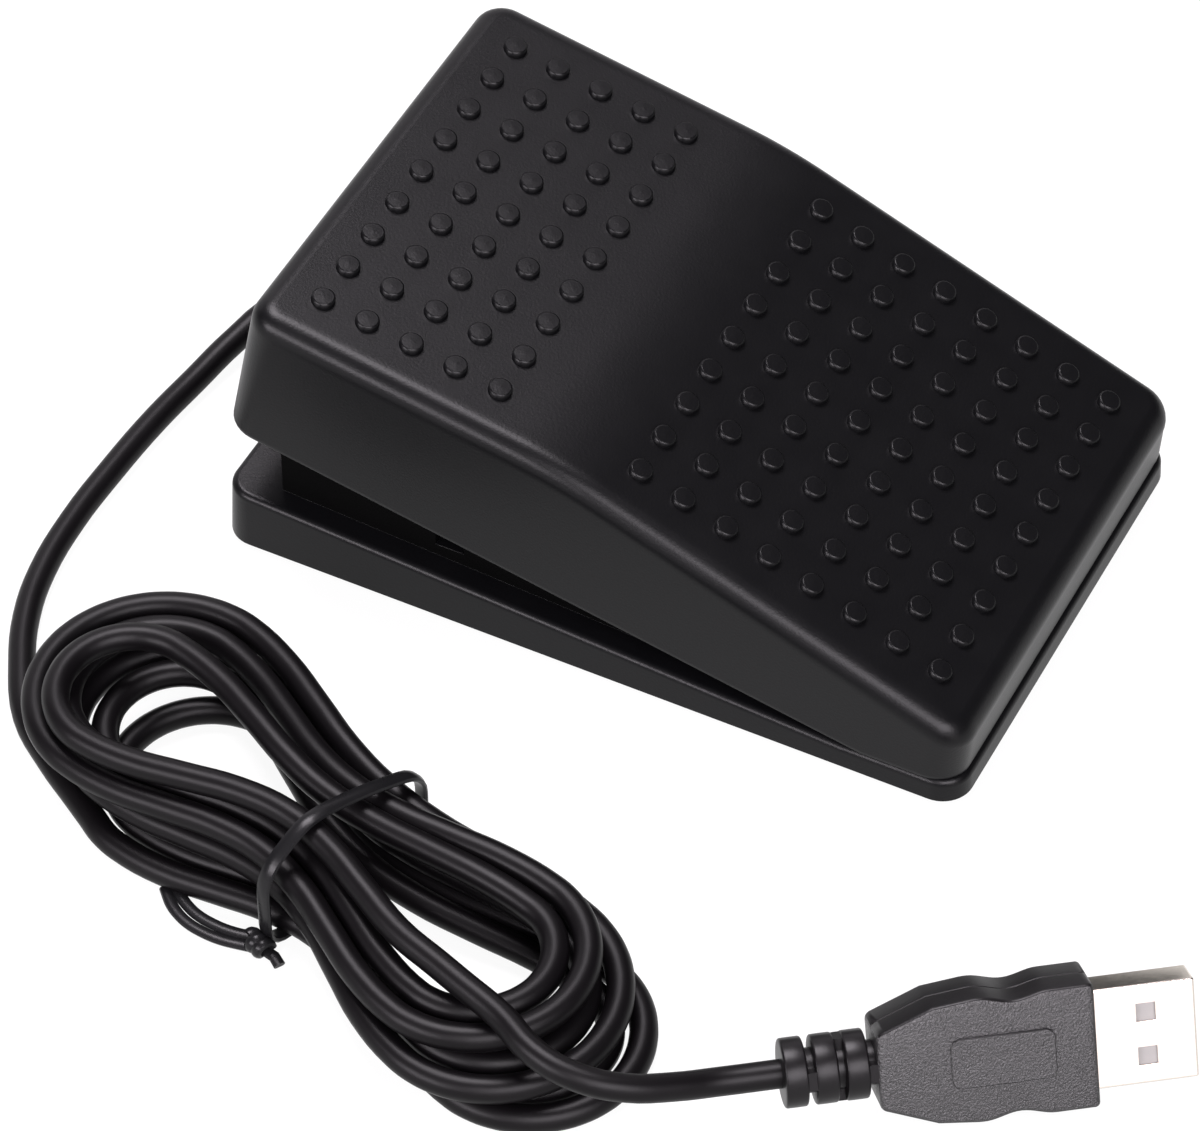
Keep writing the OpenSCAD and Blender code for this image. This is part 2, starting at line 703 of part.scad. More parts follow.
// Circuit board and what is on it
module circuit_board() {
    color("#1f5c3a")
        difference() {
            block([-board_w / 2, board_at_y, board_z], [board_w / 2, board_at_y + board_l, board_top]);
            for (p = board_screw_at)
                translate([p[0], p[1], board_z - eps])
                    cylinder(r = screw_r + screw_play, h = board_t + 2 * eps);
            for (y = terminal_at)
                block([-terminal_w / 2 - screw_play, y - terminal_t / 2 - screw_play, board_z - eps],
                    [terminal_w / 2 + screw_play, y + terminal_t / 2 + screw_play, board_top + eps]);
        }
}

module board_screws() {
    color("silver")
        for (p = board_screw_at)
            translate([p[0], p[1], board_top + screw_head_h])
                mirror([0, 0, 1])
                    screw(board_screw_l - eps);
}

module controller_chip() {
    leg = [0.4, 1.1, 0.2];
    at = [board_w / 4 + 1, board_at_y + board_l / 3];
    color("#202020")
        translate([at[0], at[1], board_top]) {
            translate([-chip_w / 2, -chip_l / 2, leg[2]])
                cube([chip_w, chip_l, chip_h - leg[2]]);
            for (s = [-1, 1], k = [-3:3])
                translate([s * (chip_w / 2 + leg[1] / 2 - leg[0]), k * chip_pitch, leg[0]])
                    cube([leg[1], leg[0], 2 * leg[0]], center = true);
        }
}

module clock_crystal() {
    r = crystal_w / 2;
    color("lightgray")
        translate([-board_w / 4, board_at_y + board_l - crystal_l / 2 - 7, board_top]) {
            translate([-r, r - crystal_l / 2, 0])
                cube([crystal_w, crystal_l - crystal_w, crystal_h]);
            for (s = [-1, 1])
                translate([0, s * (crystal_l / 2 - r), 0])
                    cylinder(r = r, h = crystal_h);
        }
}

module board_parts() {
    color("#7a5a3a")
        for (k = [0:small_parts - 1])
            translate([small_part_at[0] - small_part_l / 2, small_part_at[1] + k * small_part_pitch,
                board_top])
                cube([small_part_l, small_part_l * 0.6, small_part_l * 0.3]);
}

module wire_header() {
    color("#e8e4d8")
        translate([header_at[0], header_at[1], board_top])
            cube([header_w, header_l, header_h]);
}

module inner_wires() {
    y = [cable_end_y, header_at[1] + header_l];
    z = [cable_z, board_top + header_h - 2 * wire_r - 0.5];
    edge_y = board_at_y + board_l;
    rise_y = (edge_y + opening_y[1]) / 2;
    color("#a02020")
        for (k = [0:3]) {
            a = exit_x + (k - 1.5) * wire_spread * 1.8;
            b = exit_x + (k - 1.5) * wire_pitch;
            tube([[a, y[0], z[0]], [a, y[0] - wire_r, z[0]], [a, rise_y, z[0] + 4 * wire_r],
                [b, rise_y, z[1] - 4 * wire_r], [b, rise_y - wire_r, z[1] - wire_r],
                [b, rise_y - 4 * wire_r, z[1]], [b, y[1], z[1]]], wire_r, 6, [1, 0, 0]);
        }
}

module inner_cable() {
    color("#1c1c1e")
        along_y(cord_r, cable_end_y, flange_y, exit_x, cable_z);
}

// Grommet moulded round the cord where it leaves the base
module cable_grommet() {
    color("#1c1c1e") {
        block([exit_x - flange_w / 2, flange_y, cable_z - flange_h / 2],
            [exit_x + flange_w / 2, high_y - base_wall, cable_z + flange_h / 2]);
        along_y(neck_r, high_y - base_wall - 0.1, high_y + 0.1, exit_x, cable_z);
        along_y(collar_r, high_y, high_y + collar_l, exit_x, cable_z);
    }
}

// Snap switch: case with ears, terminals, lever and plunger
module switch_case() {
    guide = [plunger_w / 2 + plunger_play, plunger_l / 2 + plunger_play];
    y = pivot_y + plunger_y;
    color("#303034")
        difference() {
            union() {
                block([-switch_w / 2, switch_y, board_top], [switch_w / 2, switch_y + switch_l, switch_top]);
                for (x = [-switch_w / 2, switch_w / 2 - ear_t])
                    block([x, pivot_y - pivot_inset, switch_top - eps],
                        [x + ear_t, pivot_y + pivot_inset, pivot_z + 3 * pivot_r]);
            }
            along_x(pivot_r + pin_play, -switch_w, switch_w, pivot_y, pivot_z);
            block([-guide[0], y - guide[1], switch_top - guide_d],
                [guide[0], y + guide[1], switch_top + eps]);
        }
}

module switch_terminals() {
    color("gold")
        for (y = terminal_at)
            block([-terminal_w / 2, y - terminal_t / 2, board_z - board_t / 2],
                [terminal_w / 2, y + terminal_t / 2, board_top]);
}

module switch_lever() {
    color("silver") {
        translate([0, pivot_y, pivot_z])
            rotate([lever_rest, 0, 0])
                block([-lever_w / 2, -lever_t / 2, -lever_t / 2], [lever_w / 2, lever_l, lever_t / 2]);
        along_x(pivot_r, ear_t / 4 - switch_w / 2, switch_w / 2 - ear_t / 4, pivot_y, pivot_z);
    }
}

module switch_plunger() {
    y = pivot_y + plunger_y;
    color("#c03030")
        block([-plunger_w / 2, y - plunger_l / 2, switch_top - guide_d / 2],
            [plunger_w / 2, y + plunger_l / 2, switch_top + plunger_h]);
}

// Treadle: a rounded hollow cover with grip bumps on top; inside it hinge eyes, stop pegs, spring posts
// and the post that pushes the switch lever
module treadle_outside() {
    x = base_w / 2 - edge_r;
    hull()
        for (sx = [-1, 1]) {
            for (y = [reach - edge_r, edge_r - toe])
                translate([sx * x, y, -skirt_h])
                    cylinder(r = edge_r, h = skirt_h / 2, $fn = 32);
            translate([sx * x, reach - edge_r, face_h - edge_r])
                sphere(edge_r, $fn = 32);
            for (a = [0:slope / 3:slope])
                translate([sx * x, bend_y + bend_r * tan(slope / 2) - (bend_r - edge_r) * sin(a),
                    face_h - edge_r - (bend_r - edge_r) * (1 - cos(a))])
                    sphere(edge_r, $fn = 32);
            translate([sx * x, edge_r - toe, face_at(edge_r - toe) - edge_r / cos(slope)])
                sphere(edge_r, $fn = 32);
        }
}

module treadle_inside() {
    y = [treadle_wall - toe, bend_y - treadle_wall * tan(slope / 2), reach - treadle_wall];
    side_profile([[y[0], -2 * skirt_h], [y[2], -2 * skirt_h], [y[2], roof_h], [y[1], roof_h],
        [y[0], roof_at(y[0])]], inner_w);
}

module bumps() {
    for (i = [0:bumps_across - 1]) {
        x = (i - (bumps_across - 1) / 2) * bump_pitch_x;
        for (k = [0:flat_rows - 1])
            translate([x, reach - flat_first - k * bump_pitch_flat, face_h - eps])
                cylinder(r = bump_r, h = bump_h + eps);
        translate([0, bend_y, face_h])
            rotate([slope, 0, 0])
                for (k = [0:slope_rows - 1])
                    translate([x, -slope_first - k * bump_pitch_slope, -eps])
                        cylinder(r = bump_r, h = bump_h + eps);
    }
}

module treadle_fittings() {
    peg_z = peg_rise - skirt_h;
    for (s = [-1, 1]) {
        along_x(peg_r, s > 0 ? housing_x - peg_reach : -inner_w / 2 - eps,
            s > 0 ? inner_w / 2 + eps : peg_reach - housing_x, peg_y, peg_z);
        along_x(eye_r, s > 0 ? eye_x : -eye_x - eye_t, s > 0 ? eye_x + eye_t : -eye_x, 0, 0);
        block([s > 0 ? eye_x : -eye_x - eye_t, -eye_r, 0],
            [s > 0 ? eye_x + eye_t : -eye_x, eye_r, roof_at(eye_r) + eps]);
        translate([s * spring_x, along_roof(spring_at_y), roof_h - spring_post_l])
            cylinder(r = spring_post_r, h = spring_post_l + eps);
    }
    translate([0, push_tip[0], push_tip[1]])
        cylinder(r = push_r, h = roof_at(push_tip[0] + push_r) + eps - push_tip[1]);
}

module pedal_cover() {
    color("#2e2d30")
        difference() {
            on_treadle()
                difference() {
                    union() {
                        difference() {
                            treadle_outside();
                            treadle_inside();
                        }
                        bumps();
                        treadle_fittings();
                    }
                    along_x(pin_r + pin_play, -inner_w / 2, inner_w / 2, 0, 0);
                }
            block([-base_w, toe_y - base_w, 0], [base_w, hinge_y, level_z + skirt_gap]);
        }
}

// Cord: the lead, the hank with its tie, and the tail
module cable_lead() {
    color("#1c1c1e")
        tube(lead_path, cord_r, 8);
}

module cable_hank() {
    echo(least_gap_in_the_hank = least_gap(hank_path, cord_d, hank_rings / 2));
    color("#1c1c1e")
        tube(hank_path, cord_r, 6);
}

module cable_tail() {
    color("#1c1c1e")
        tube(tail_path, cord_r, 8);
}

// The tie is a flat strip pulled round the waist, with a knot and a loose end on its outer side
module hank_tie() {
    over = turn_radius(6.5) - waist_in;
    loop = [[tie_right, tie_low], [tie_right, waist_top(4)],
        [turn_radius(6) - waist_in + cord_r, waist_top(6)], [cord_r - over, waist_top(6.5)],
        [-cord_r - over, waist_top(6.5)], [-tie_left, waist_top(4.5)], [-tie_left, tie_low]];
    corners = [0:len(loop) - 1];
    knot_x = -tie_left - tie_w * 0.7;
    loose = [[-tie_left - tie_w / 2, 0], [knot_x - 1.1 * tie_w, 5], [knot_x - 1.3 * tie_w, 9],
        [knot_x - 1.2 * tie_w, 13]];
    color("#151515")
        translate([hank_at[0], hank_at[1], 0])
            rotate([0, 0, hank_turn]) {
                rotate([90, 0, 0])
                    difference() {
                        linear_extrude(tie_w, center = true)
                            polygon([for (k = corners) mitred(loop, k, tie_t / 2)]);
                        linear_extrude(tie_w + 2 * eps, center = true)
                            polygon([for (k = corners) mitred(loop, k, -tie_t / 2)]);
                    }
                along_y(tie_w * 0.8, -tie_w * 0.9, tie_w * 0.9, knot_x, tie_w * 0.9);
                translate([0, 0, tie_t / 8])
                    linear_extrude(tie_t)
                        polygon(concat([for (p = loose) p - [tie_w / 2, 0]],
                            [for (k = [len(loose) - 1:-1:0]) loose[k] + [tie_w / 2, 0]]));
            }
}

// Plug: moulded grip with its bend relief, steel shell, tongue and contacts
module plug_grip() {
    ring_pitch = relief_l / relief_rings;
    ring_l = ring_pitch - relief_gap;
    pocket = [shell_w / 2 + shell_play, shell_t / 2 + shell_play];
    panel = [relief_l + grip_l * 0.33, relief_l + grip_l * 0.81, grip_w * 0.2];
    scoop = [[0.45, 0], [0.5, 0.1], [0.57, 0.75], [0.635, 1], [0.7, 0.75], [0.77, 0.1], [0.82, 0]];
    outline = concat([[relief_l - relief_gap, grip_rear_w / 2], [relief_l + 0.26 * grip_l, grip_w * 0.467]],
        [for (s = scoop) [relief_l + s[0] * grip_l, grip_w / 2 - s[1] * notch_d]], [[grip_end, grip_w / 2]]);
    mirrored = [for (k = [len(outline) - 1:-1:0]) [outline[k][0], -outline[k][1]]];
    section = [[grip_w / 2, grip_t / 2 - grip_bevel], [grip_w / 2 - grip_bevel, grip_t / 2],
        [grip_bevel - grip_w / 2, grip_t / 2], [-grip_w / 2, grip_t / 2 - grip_bevel],
        [-grip_w / 2, grip_bevel - grip_t / 2], [grip_bevel - grip_w / 2, -grip_t / 2],
        [grip_w / 2 - grip_bevel, -grip_t / 2], [grip_w / 2, grip_bevel - grip_t / 2]];
    color("#222224")
        on_plug()
            difference() {
                union() {
                    intersection() {
                        translate([0, 0, -grip_t / 2])
                            linear_extrude(grip_t)
                                polygon(concat(outline, mirrored));
                        rotate([90, 0, 90])
                            linear_extrude(grip_end)
                                polygon(section);
                    }
                    along_x(relief_core_r, 0, relief_l, 0, 0);
                    for (k = [0:relief_rings - 1])
                        along_x(relief_r, k * ring_pitch, k * ring_pitch + ring_l, 0, 0);
                    block([panel[0], -panel[2], -grip_t / 2 - panel_h],
                        [panel[1], panel[2], grip_t / 2 + panel_h]);
                }
                block([grip_end - shell_in_l - shell_play, -pocket[0], -pocket[1]],
                    [grip_end + eps, pocket[0], pocket[1]]);
            }
}

module plug_shell() {
    hole_x = grip_end + shell_l * 0.42;
    color("silver")
        on_plug()
            difference() {
                block([grip_end - shell_in_l, -shell_w / 2, -shell_t / 2],
                    [shell_end, shell_w / 2, shell_t / 2]);
                block([grip_end - shell_in_l - eps, shell_wall - shell_w / 2, shell_wall - shell_t / 2],
                    [shell_end + eps, shell_w / 2 - shell_wall, shell_t / 2 - shell_wall]);
                for (s = [-1, 1])
                    block([hole_x, s * shell_w * 0.22 - latch_hole / 2, -shell_t],
                        [hole_x + latch_hole, s * shell_w * 0.22 + latch_hole / 2, shell_t]);
            }
}

module plug_tongue() {
    in = [shell_w / 2 - shell_wall - shell_play, shell_t / 2 - shell_wall - shell_play];
    color("#f0f0ea")
        on_plug() {
            block([grip_end - shell_in_l, -in[0], -in[1]], [grip_end - shell_play, in[0], in[1]]);
            block([grip_end - shell_in_l, -in[0], in[1] - tongue_t], [shell_end - shell_wall, in[0], in[1]]);
        }
}

module plug_contacts() {
    z = shell_t / 2 - shell_wall - shell_play - tongue_t;
    color("gold")
        on_plug()
            for (k = [-1.5:1.5])
                block([grip_end - shell_play, k * contact_pitch - contact_w / 2, z - shell_wall],
                    [shell_end - 4 * shell_wall, k * contact_pitch + contact_w / 2, z]);
}

base_tray();
bottom_plate();
plate_screws();
rubber_feet();
hinge_pin();
pin_clips();
return_springs();
circuit_board();
board_screws();
controller_chip();
clock_crystal();
board_parts();
wire_header();
inner_wires();
inner_cable();
cable_grommet();
switch_case();
switch_terminals();
switch_lever();
switch_plunger();
pedal_cover();
cable_lead();
cable_hank();
cable_tail();
hank_tie();
plug_grip();
plug_shell();
plug_tongue();
plug_contacts();
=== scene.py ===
import math

import bmesh
import bpy
from mathutils import Matrix, Quaternion, Vector


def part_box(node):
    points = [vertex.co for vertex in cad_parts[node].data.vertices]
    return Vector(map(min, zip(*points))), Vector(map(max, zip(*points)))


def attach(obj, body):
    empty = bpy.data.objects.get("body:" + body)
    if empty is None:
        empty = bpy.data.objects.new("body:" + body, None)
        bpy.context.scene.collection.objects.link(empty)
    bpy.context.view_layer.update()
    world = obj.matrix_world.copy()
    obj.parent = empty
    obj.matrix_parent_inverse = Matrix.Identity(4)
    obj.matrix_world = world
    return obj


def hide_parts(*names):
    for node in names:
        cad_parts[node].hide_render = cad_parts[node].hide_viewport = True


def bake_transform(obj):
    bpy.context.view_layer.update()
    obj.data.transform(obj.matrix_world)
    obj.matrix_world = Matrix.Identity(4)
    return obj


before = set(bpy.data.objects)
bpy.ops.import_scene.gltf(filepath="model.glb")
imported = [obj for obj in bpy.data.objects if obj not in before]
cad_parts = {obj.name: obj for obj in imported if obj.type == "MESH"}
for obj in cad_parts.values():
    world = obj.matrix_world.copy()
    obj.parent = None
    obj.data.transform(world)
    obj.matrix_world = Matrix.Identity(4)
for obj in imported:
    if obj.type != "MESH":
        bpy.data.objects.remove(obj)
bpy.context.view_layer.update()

# Camera: a long lens some 0.73 m off, high on the pedal's left side, with the pedal, the hank and the
# plug filling the frame.
focal_px = 5913.7
frame_width_px = 1200
camera_data = bpy.data.cameras.new("photo_camera")
camera_data.sensor_width = 36
camera_data.lens = camera_data.sensor_width * focal_px / frame_width_px
camera = bpy.data.objects.new("photo_camera", camera_data)
camera.location = (-0.45671, -0.21888, 0.53238)
camera.rotation_mode = "QUATERNION"
looks_along = Vector((0.60721, 0.30925, -0.73189))
camera_roll = math.radians(-0.24)
camera.rotation_quaternion = looks_along.to_track_quat("-Z", "Y") @ Quaternion((0, 0, 1), camera_roll)
bpy.context.scene.collection.objects.link(camera)
bpy.context.scene.camera = camera
bpy.context.scene.view_settings.view_transform = "Standard"


# Studio: a white light table under the object, a soft box overhead towards the pedal's high end, one
# on the left and one in front on the left, a card there that the plug's bright shell mirrors, and a
# wide card behind on the right that the far edges mirror.
def linear(hex_colour):
    """An sRGB hex colour as linear red, green, blue and alpha."""
    parts = [int(hex_colour[k:k + 2], 16) / 255 for k in (1, 3, 5)]
    return [p / 12.92 if p <= 0.04045 else ((p + 0.055) / 1.055) ** 2.4 for p in parts] + [1]


def add_node(tree, kind, settings=None, inputs=None):
    """One node with its settings, and each input set to a value or linked from an output."""
    made = tree.nodes.new(kind)
    for name, value in (settings or {}).items():
        setattr(made, name, value)
    for name, value in (inputs or {}).items():
        if isinstance(value, bpy.types.NodeSocket):
            tree.links.new(value, made.inputs[name])
        else:
            made.inputs[name].default_value = value
    return made


def new_material(name):
    """An empty node material, and its tree."""
    material = bpy.data.materials.new(name)
    material.use_nodes = True
    material.node_tree.nodes.clear()
    return material, material.node_tree


# Opal acrylic lit from below: an even white, its cloudy patches too faint to notice.
table_glow, glow_band, patch_m = 0.93, 0.01, 0.4
table_top, tree = new_material("white_acrylic_light_table")
place = add_node(tree, "ShaderNodeTexCoord").outputs["Object"]
haze = add_node(tree, "ShaderNodeTexNoise", inputs={"Vector": place, "Scale": 1 / patch_m})
glow = add_node(tree, "ShaderNodeMapRange", inputs={
    "Value": haze.outputs["Fac"], "To Min": table_glow - glow_band, "To Max": table_glow + glow_band})
shader = add_node(tree, "ShaderNodeBsdfPrincipled", inputs={
    "Base Color": linear("#363636"), "Roughness": 0.6, "Emission Color": linear("#ffffff"),
    "Emission Strength": glow.outputs["Result"]})
add_node(tree, "ShaderNodeOutputMaterial", inputs={"Surface": shader.outputs["BSDF"]})
half_floor = 4
floor_corners = [(-half_floor, -half_floor, 0), (half_floor, -half_floor, 0),
                 (half_floor, half_floor, 0), (-half_floor, half_floor, 0)]
floor_mesh = bpy.data.meshes.new("floor")
floor_mesh.from_pydata(floor_corners, [], [(0, 1, 2, 3)])
floor_mesh.materials.append(table_top)
floor = bpy.data.objects.new("floor", floor_mesh)
bpy.context.scene.collection.objects.link(floor)

# Each light's name, direction from the object, distance, width and height in metres, and watts.
lit_spot = Vector((-0.02, 0.0, 0.02))
soft_boxes = [
    ("overhead_box", (0.24, 0.24, 0.94), 1.6, 0.8, 0.8, 49.0),
    ("left_box", (-0.85, 0.36, 0.40), 0.8, 0.5, 0.25, 7.5),
    ("front_box", (-0.55, -0.55, 0.63), 0.9, 0.7, 0.5, 15.0),
    ("front_card", (-0.72, -0.66, 0.216), 1.2, 1.4, 0.5, 4.2),
    ("back_card", (0.68, 0.62, 0.36), 1.4, 2.4, 0.8, 7.5)]
for name, towards, distance, width, height, watts in soft_boxes:
    light = bpy.data.lights.new(name, "AREA")
    light.shape, light.size, light.size_y, light.energy = "RECTANGLE", width, height, watts
    light.color = linear("#fff8ff")[:3]
    box = bpy.data.objects.new(name, light)
    direction = Vector(towards).normalized()
    box.location = lit_spot + direction * distance
    box.rotation_mode = "QUATERNION"
    box.rotation_quaternion = direction.to_track_quat("Z", "Y")
    bpy.context.scene.collection.objects.link(box)
world = bpy.data.worlds.new("dim_studio")
world.use_nodes = True
world.node_tree.nodes.clear()
sky = add_node(world.node_tree, "ShaderNodeBackground", inputs={
    "Color": linear("#ffffff"), "Strength": 0.08})
add_node(world.node_tree, "ShaderNodeOutputWorld", inputs={"Surface": sky.outputs["Background"]})
bpy.context.scene.world = world

# Cord: a round four-core cord, 3.4 mm thick, its smooth black PVC jacket extruded over the cores. It
# leaves the pedal's high end, lies on the table, is folded to a hank of six turns and ends in the plug.
mm = 0.001
to_metres = Matrix.Scale(mm, 4)
cord_d = 3.4
cord_r = cord_d / 2
cord_exit = Vector((6, 50, 4.6))
collar_end = Vector((6, 54, 4.6))
lead_points = [(3.5, 61.5, 3.8), (-3, 64, 2.6), (-11, 65.5, 1.8), (-19, 66.5, 1.7), (-29, 67, 1.7),
               (-39, 67, 1.7), (-48, 66, 1.7), (-55.3, 63.9, 1.7), (-62.3, 60.4, 1.7), (-69.3, 55.6, 1.7)]
tail_points = [(-95.2, -26.3, 12.8), (-95.7, -31.8, 12.2), (-93.8, -36.9, 11), (-90.2, -41, 9.4)]
hank_frame = Matrix.Translation((-75.1, 9.5, 0)) @ Matrix.Rotation(math.radians(-18.2), 4, "Z")
run_half, fold_r, turn_step, waist_in, tie_lift = 27.2, 8, 3.8, 5.7, 1.1
layer_turns = [math.radians(a) for a in (1.6, -2.4, 0.5, 7)]
layer_shifts = [-4.2, 1.2, 4.2, 4.5]
# Counted in turns: where a layer ends and the next starts, the hank's two ends, and half a run.
reversals = (2, 4, 6)
first_turn, last_turn, half_run = 9 / 24, 158 / 24, 2 / 24
places_per_turn = 48


def turn_radius(s):
    """How far turn number s lies from the hank's middle line at its folds: layers run in, then out."""
    innermost = reversals[0] if s < reversals[1] else reversals[2]
    return fold_r + turn_step * abs(s - innermost)


def smooth(f):
    """A step from 0 to 1 with level ends."""
    f = min(1, max(0, f))
    return f * f * (3 - 2 * f)


def layered(values, s):
    """A value that each of the four layers has for itself, with easy changes from layer to layer."""
    steps = zip(values, values[1:], reversals)
    return values[0] + sum((b - a) * smooth((s - r) / half_run / 2 + 0.5) for a, b, r in steps)


def climbed(s):
    """How high the layers under turn number s lift the cord."""
    return layered([turn_step * k for k in range(len(layer_turns))], s)


def hank_place(s):
    """The cord's middle at turn number s: a run, a fold, the run back and the other fold."""
    u, w = s % 1, turn_radius(s)
    flip = -1 if 0.5 - half_run <= u < 1 - half_run else 1
    if u < half_run or 0.5 - half_run <= u < 0.5 + half_run or u >= 1 - half_run:
        f = (u - round(2 * u) / 2) / half_run
        drawn = math.cos(math.pi / 2 * f) ** 2
        p = Vector((w - waist_in * drawn, run_half * f, tie_lift * drawn))
    else:
        f = (u % 0.5 - half_run) / (0.5 - 2 * half_run)
        p = Vector((w * math.cos(math.pi * f), run_half + w * math.sin(math.pi * f), 0))
    laid = Matrix.Rotation(layered(layer_turns, s), 3, "Z") @ Vector((flip * p.x, flip * p.y, p.z))
    return hank_frame @ (laid + Vector((0, layered(layer_shifts, s), cord_r + climbed(s))))


hank_steps = round((last_turn - first_turn) * places_per_turn)
hank_turns = [hank_place(first_turn + k / places_per_turn) for k in range(hank_steps + 1)]
hank_in = (hank_turns[1] - hank_turns[0]).normalized()
hank_out = (hank_turns[-1] - hank_turns[-2]).normalized()
hank_start, hank_end = hank_turns[0] - cord_d * hank_in, hank_turns[-1] + cord_d * hank_out
plug_start = Vector((-82, -50.5, 7.895))
plug_yaw, plug_roll = math.radians(-54), math.radians(60)
plug_dir = Vector((math.cos(plug_yaw), math.sin(plug_yaw), 0))
route = [cord_exit + Vector((0, 1, 0)), collar_end, collar_end + Vector((0, cord_d, 0))]
route += [Vector(p) for p in lead_points]
route += [hank_start - 2 * cord_d * hank_in, hank_start, *hank_turns]
route += [hank_end, hank_end + 2 * cord_d * hank_out]
route += [Vector(p) for p in tail_points]
route += [plug_start - 2 * cord_d * plug_dir, plug_start, plug_start + cord_d * plug_dir]

cord_curve = bpy.data.curves.new("cord", "CURVE")
cord_curve.dimensions = "3D"
cord_curve.bevel_depth = cord_r * mm
cord_curve.bevel_resolution = 5
cord_curve.resolution_u = 4
cord_curve.use_fill_caps = True
spline = cord_curve.splines.new("BEZIER")
spline.bezier_points.add(len(route) - 1)
for point, at in zip(spline.bezier_points, route):
    point.co = to_metres @ at
    point.handle_left_type = point.handle_right_type = "AUTO"
cord = bpy.data.objects.new("cord", cord_curve)
bpy.context.scene.collection.objects.link(cord)


# PVC jacket: extruded smooth, so it is a deep black with a soft sheen and faint waves about a
# millimetre long.
def moulded(name, colour, light_colour, roughness, grain_mm, grain_depth_mm,
            mottle_mm=6.0, sheen_band=0.05, mirror=0.15):
    """A moulded or extruded plastic: two near colours in soft patches, a roughness band, a fine grain."""
    material, tree = new_material(name)
    place = add_node(tree, "ShaderNodeTexCoord").outputs["Object"]
    patches = add_node(tree, "ShaderNodeTexNoise", inputs={
        "Vector": place, "Scale": 1 / (mottle_mm * mm), "Detail": 3.0})
    mixed = add_node(tree, "ShaderNodeMix", {"data_type": "RGBA"}, {
        0: patches.outputs["Fac"], 6: linear(colour), 7: linear(light_colour)})
    rough = add_node(tree, "ShaderNodeMapRange", inputs={
        "Value": patches.outputs["Fac"], "From Min": 0.3, "From Max": 0.7,
        "To Min": roughness - sheen_band / 2, "To Max": roughness + sheen_band / 2})
    grain = add_node(tree, "ShaderNodeTexNoise", inputs={
        "Vector": place, "Scale": 1 / (grain_mm * mm), "Detail": 2.0, "Roughness": 0.6})
    relief = add_node(tree, "ShaderNodeBump", inputs={
        "Height": grain.outputs["Fac"], "Strength": 1.0, "Distance": grain_depth_mm * mm})
    shader = add_node(tree, "ShaderNodeBsdfPrincipled", inputs={
        "Base Color": mixed.outputs[2], "Roughness": rough.outputs["Result"],
        "Specular IOR Level": mirror, "Normal": relief.outputs["Normal"]})
    add_node(tree, "ShaderNodeOutputMaterial", inputs={"Surface": shader.outputs["BSDF"]})
    return material


cord_jacket = moulded("smooth_black_pvc", "#050405", "#060506", 0.40, 1.2, 0.004,
                      sheen_band=0.03, mirror=0.12)
cord_curve.materials.append(cord_jacket)
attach(cord, "base")
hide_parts("cable_lead", "cable_hank", "cable_tail")


# Base tray: a wedge of moulded ABS, black, with a deck, an upright wall on it and hinge posts, open
# underneath. The mould leaves its outer walls with a little draw and every edge slightly round.
def merged_copy(node):
    """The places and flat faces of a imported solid, its triangles merged."""
    same_place, flat_angle = 0.002 * mm, math.radians(0.5)
    bm = bmesh.new()
    bm.from_mesh(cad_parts[node].data)
    bmesh.ops.remove_doubles(bm, verts=bm.verts, dist=same_place)
    bmesh.ops.dissolve_limit(bm, angle_limit=flat_angle, verts=bm.verts, edges=bm.edges)
    return bm


def finished(bm, name, material, edge_mm=0, crease=35):
    """A piece at the origin from a built mesh, smooth but for its creases, its edges rounded."""
    mesh = bpy.data.meshes.new(name)
    bm.verts.index_update()
    mesh.from_pydata([v.co[:] for v in bm.verts], [], [[v.index for v in f.verts] for f in bm.faces])
    bm.free()
    mesh.materials.append(material)
    mesh.polygons.foreach_set("use_smooth", [True] * len(mesh.polygons))
    mesh.set_sharp_from_angle(angle=math.radians(crease))
    piece = bpy.data.objects.new(name, mesh)
    bpy.context.scene.collection.objects.link(piece)
    if edge_mm:
        rounding = piece.modifiers.new("edge_round", "BEVEL")
        rounding.width, rounding.segments = edge_mm * mm, 3
        rounding.limit_method, rounding.angle_limit = "ANGLE", math.radians(crease)
        flats = piece.modifiers.new("flat_faces_stay_flat", "WEIGHTED_NORMAL")
        flats.keep_sharp = True
    return piece


base_half_w, base_half_l, base_corner_r, deck_edge_r, near = 32, 50, 4, 0.9, 0.05
foot_h, draw = 0.8, 0.05


def from_corner(v):
    """How far a place lies out from the middles of the base's round corners."""
    x, y = v.co.xy / mm
    out_x, out_y = abs(x) - base_half_w + base_corner_r, abs(y) - base_half_l + base_corner_r
    return Vector((max(out_x, 0), max(out_y, 0)))


def on_deck_rim(edge):
    """Whether an edge runs along the outline where the deck, facing up, meets an upright wall."""
    at_outline = all(from_corner(v).length > base_corner_r - near for v in edge.verts)
    facing = [f.normal.z for f in edge.link_faces]
    return at_outline and max(facing) > 0.9 and min(abs(z) for z in facing) < 0.1


bm = merged_copy("base_tray")
bm.normal_update()
bmesh.ops.bevel(bm, geom=[e for e in bm.edges if on_deck_rim(e)], offset=deck_edge_r * mm,
                segments=4, profile=0.5, affect="EDGES")
for v in bm.verts:
    out = from_corner(v)
    if out.length > base_corner_r - deck_edge_r - near:
        pulled = out.normalized() * draw * (v.co.z - foot_h * mm)
        v.co.x -= math.copysign(pulled.x, v.co.x)
        v.co.y -= math.copysign(pulled.y, v.co.y)
# ABS from a spark-eroded mould: deep black with a wide, soft sheen. Its grain of about 0.1 mm is drawn
# at 0.32 mm to show.
satin_abs = moulded("satin_black_abs", "#050506", "#070708", 0.34, 0.32, 0.018, sheen_band=0.02)
base_tray = finished(bm, "base_tray_moulding", satin_abs, edge_mm=0.4)
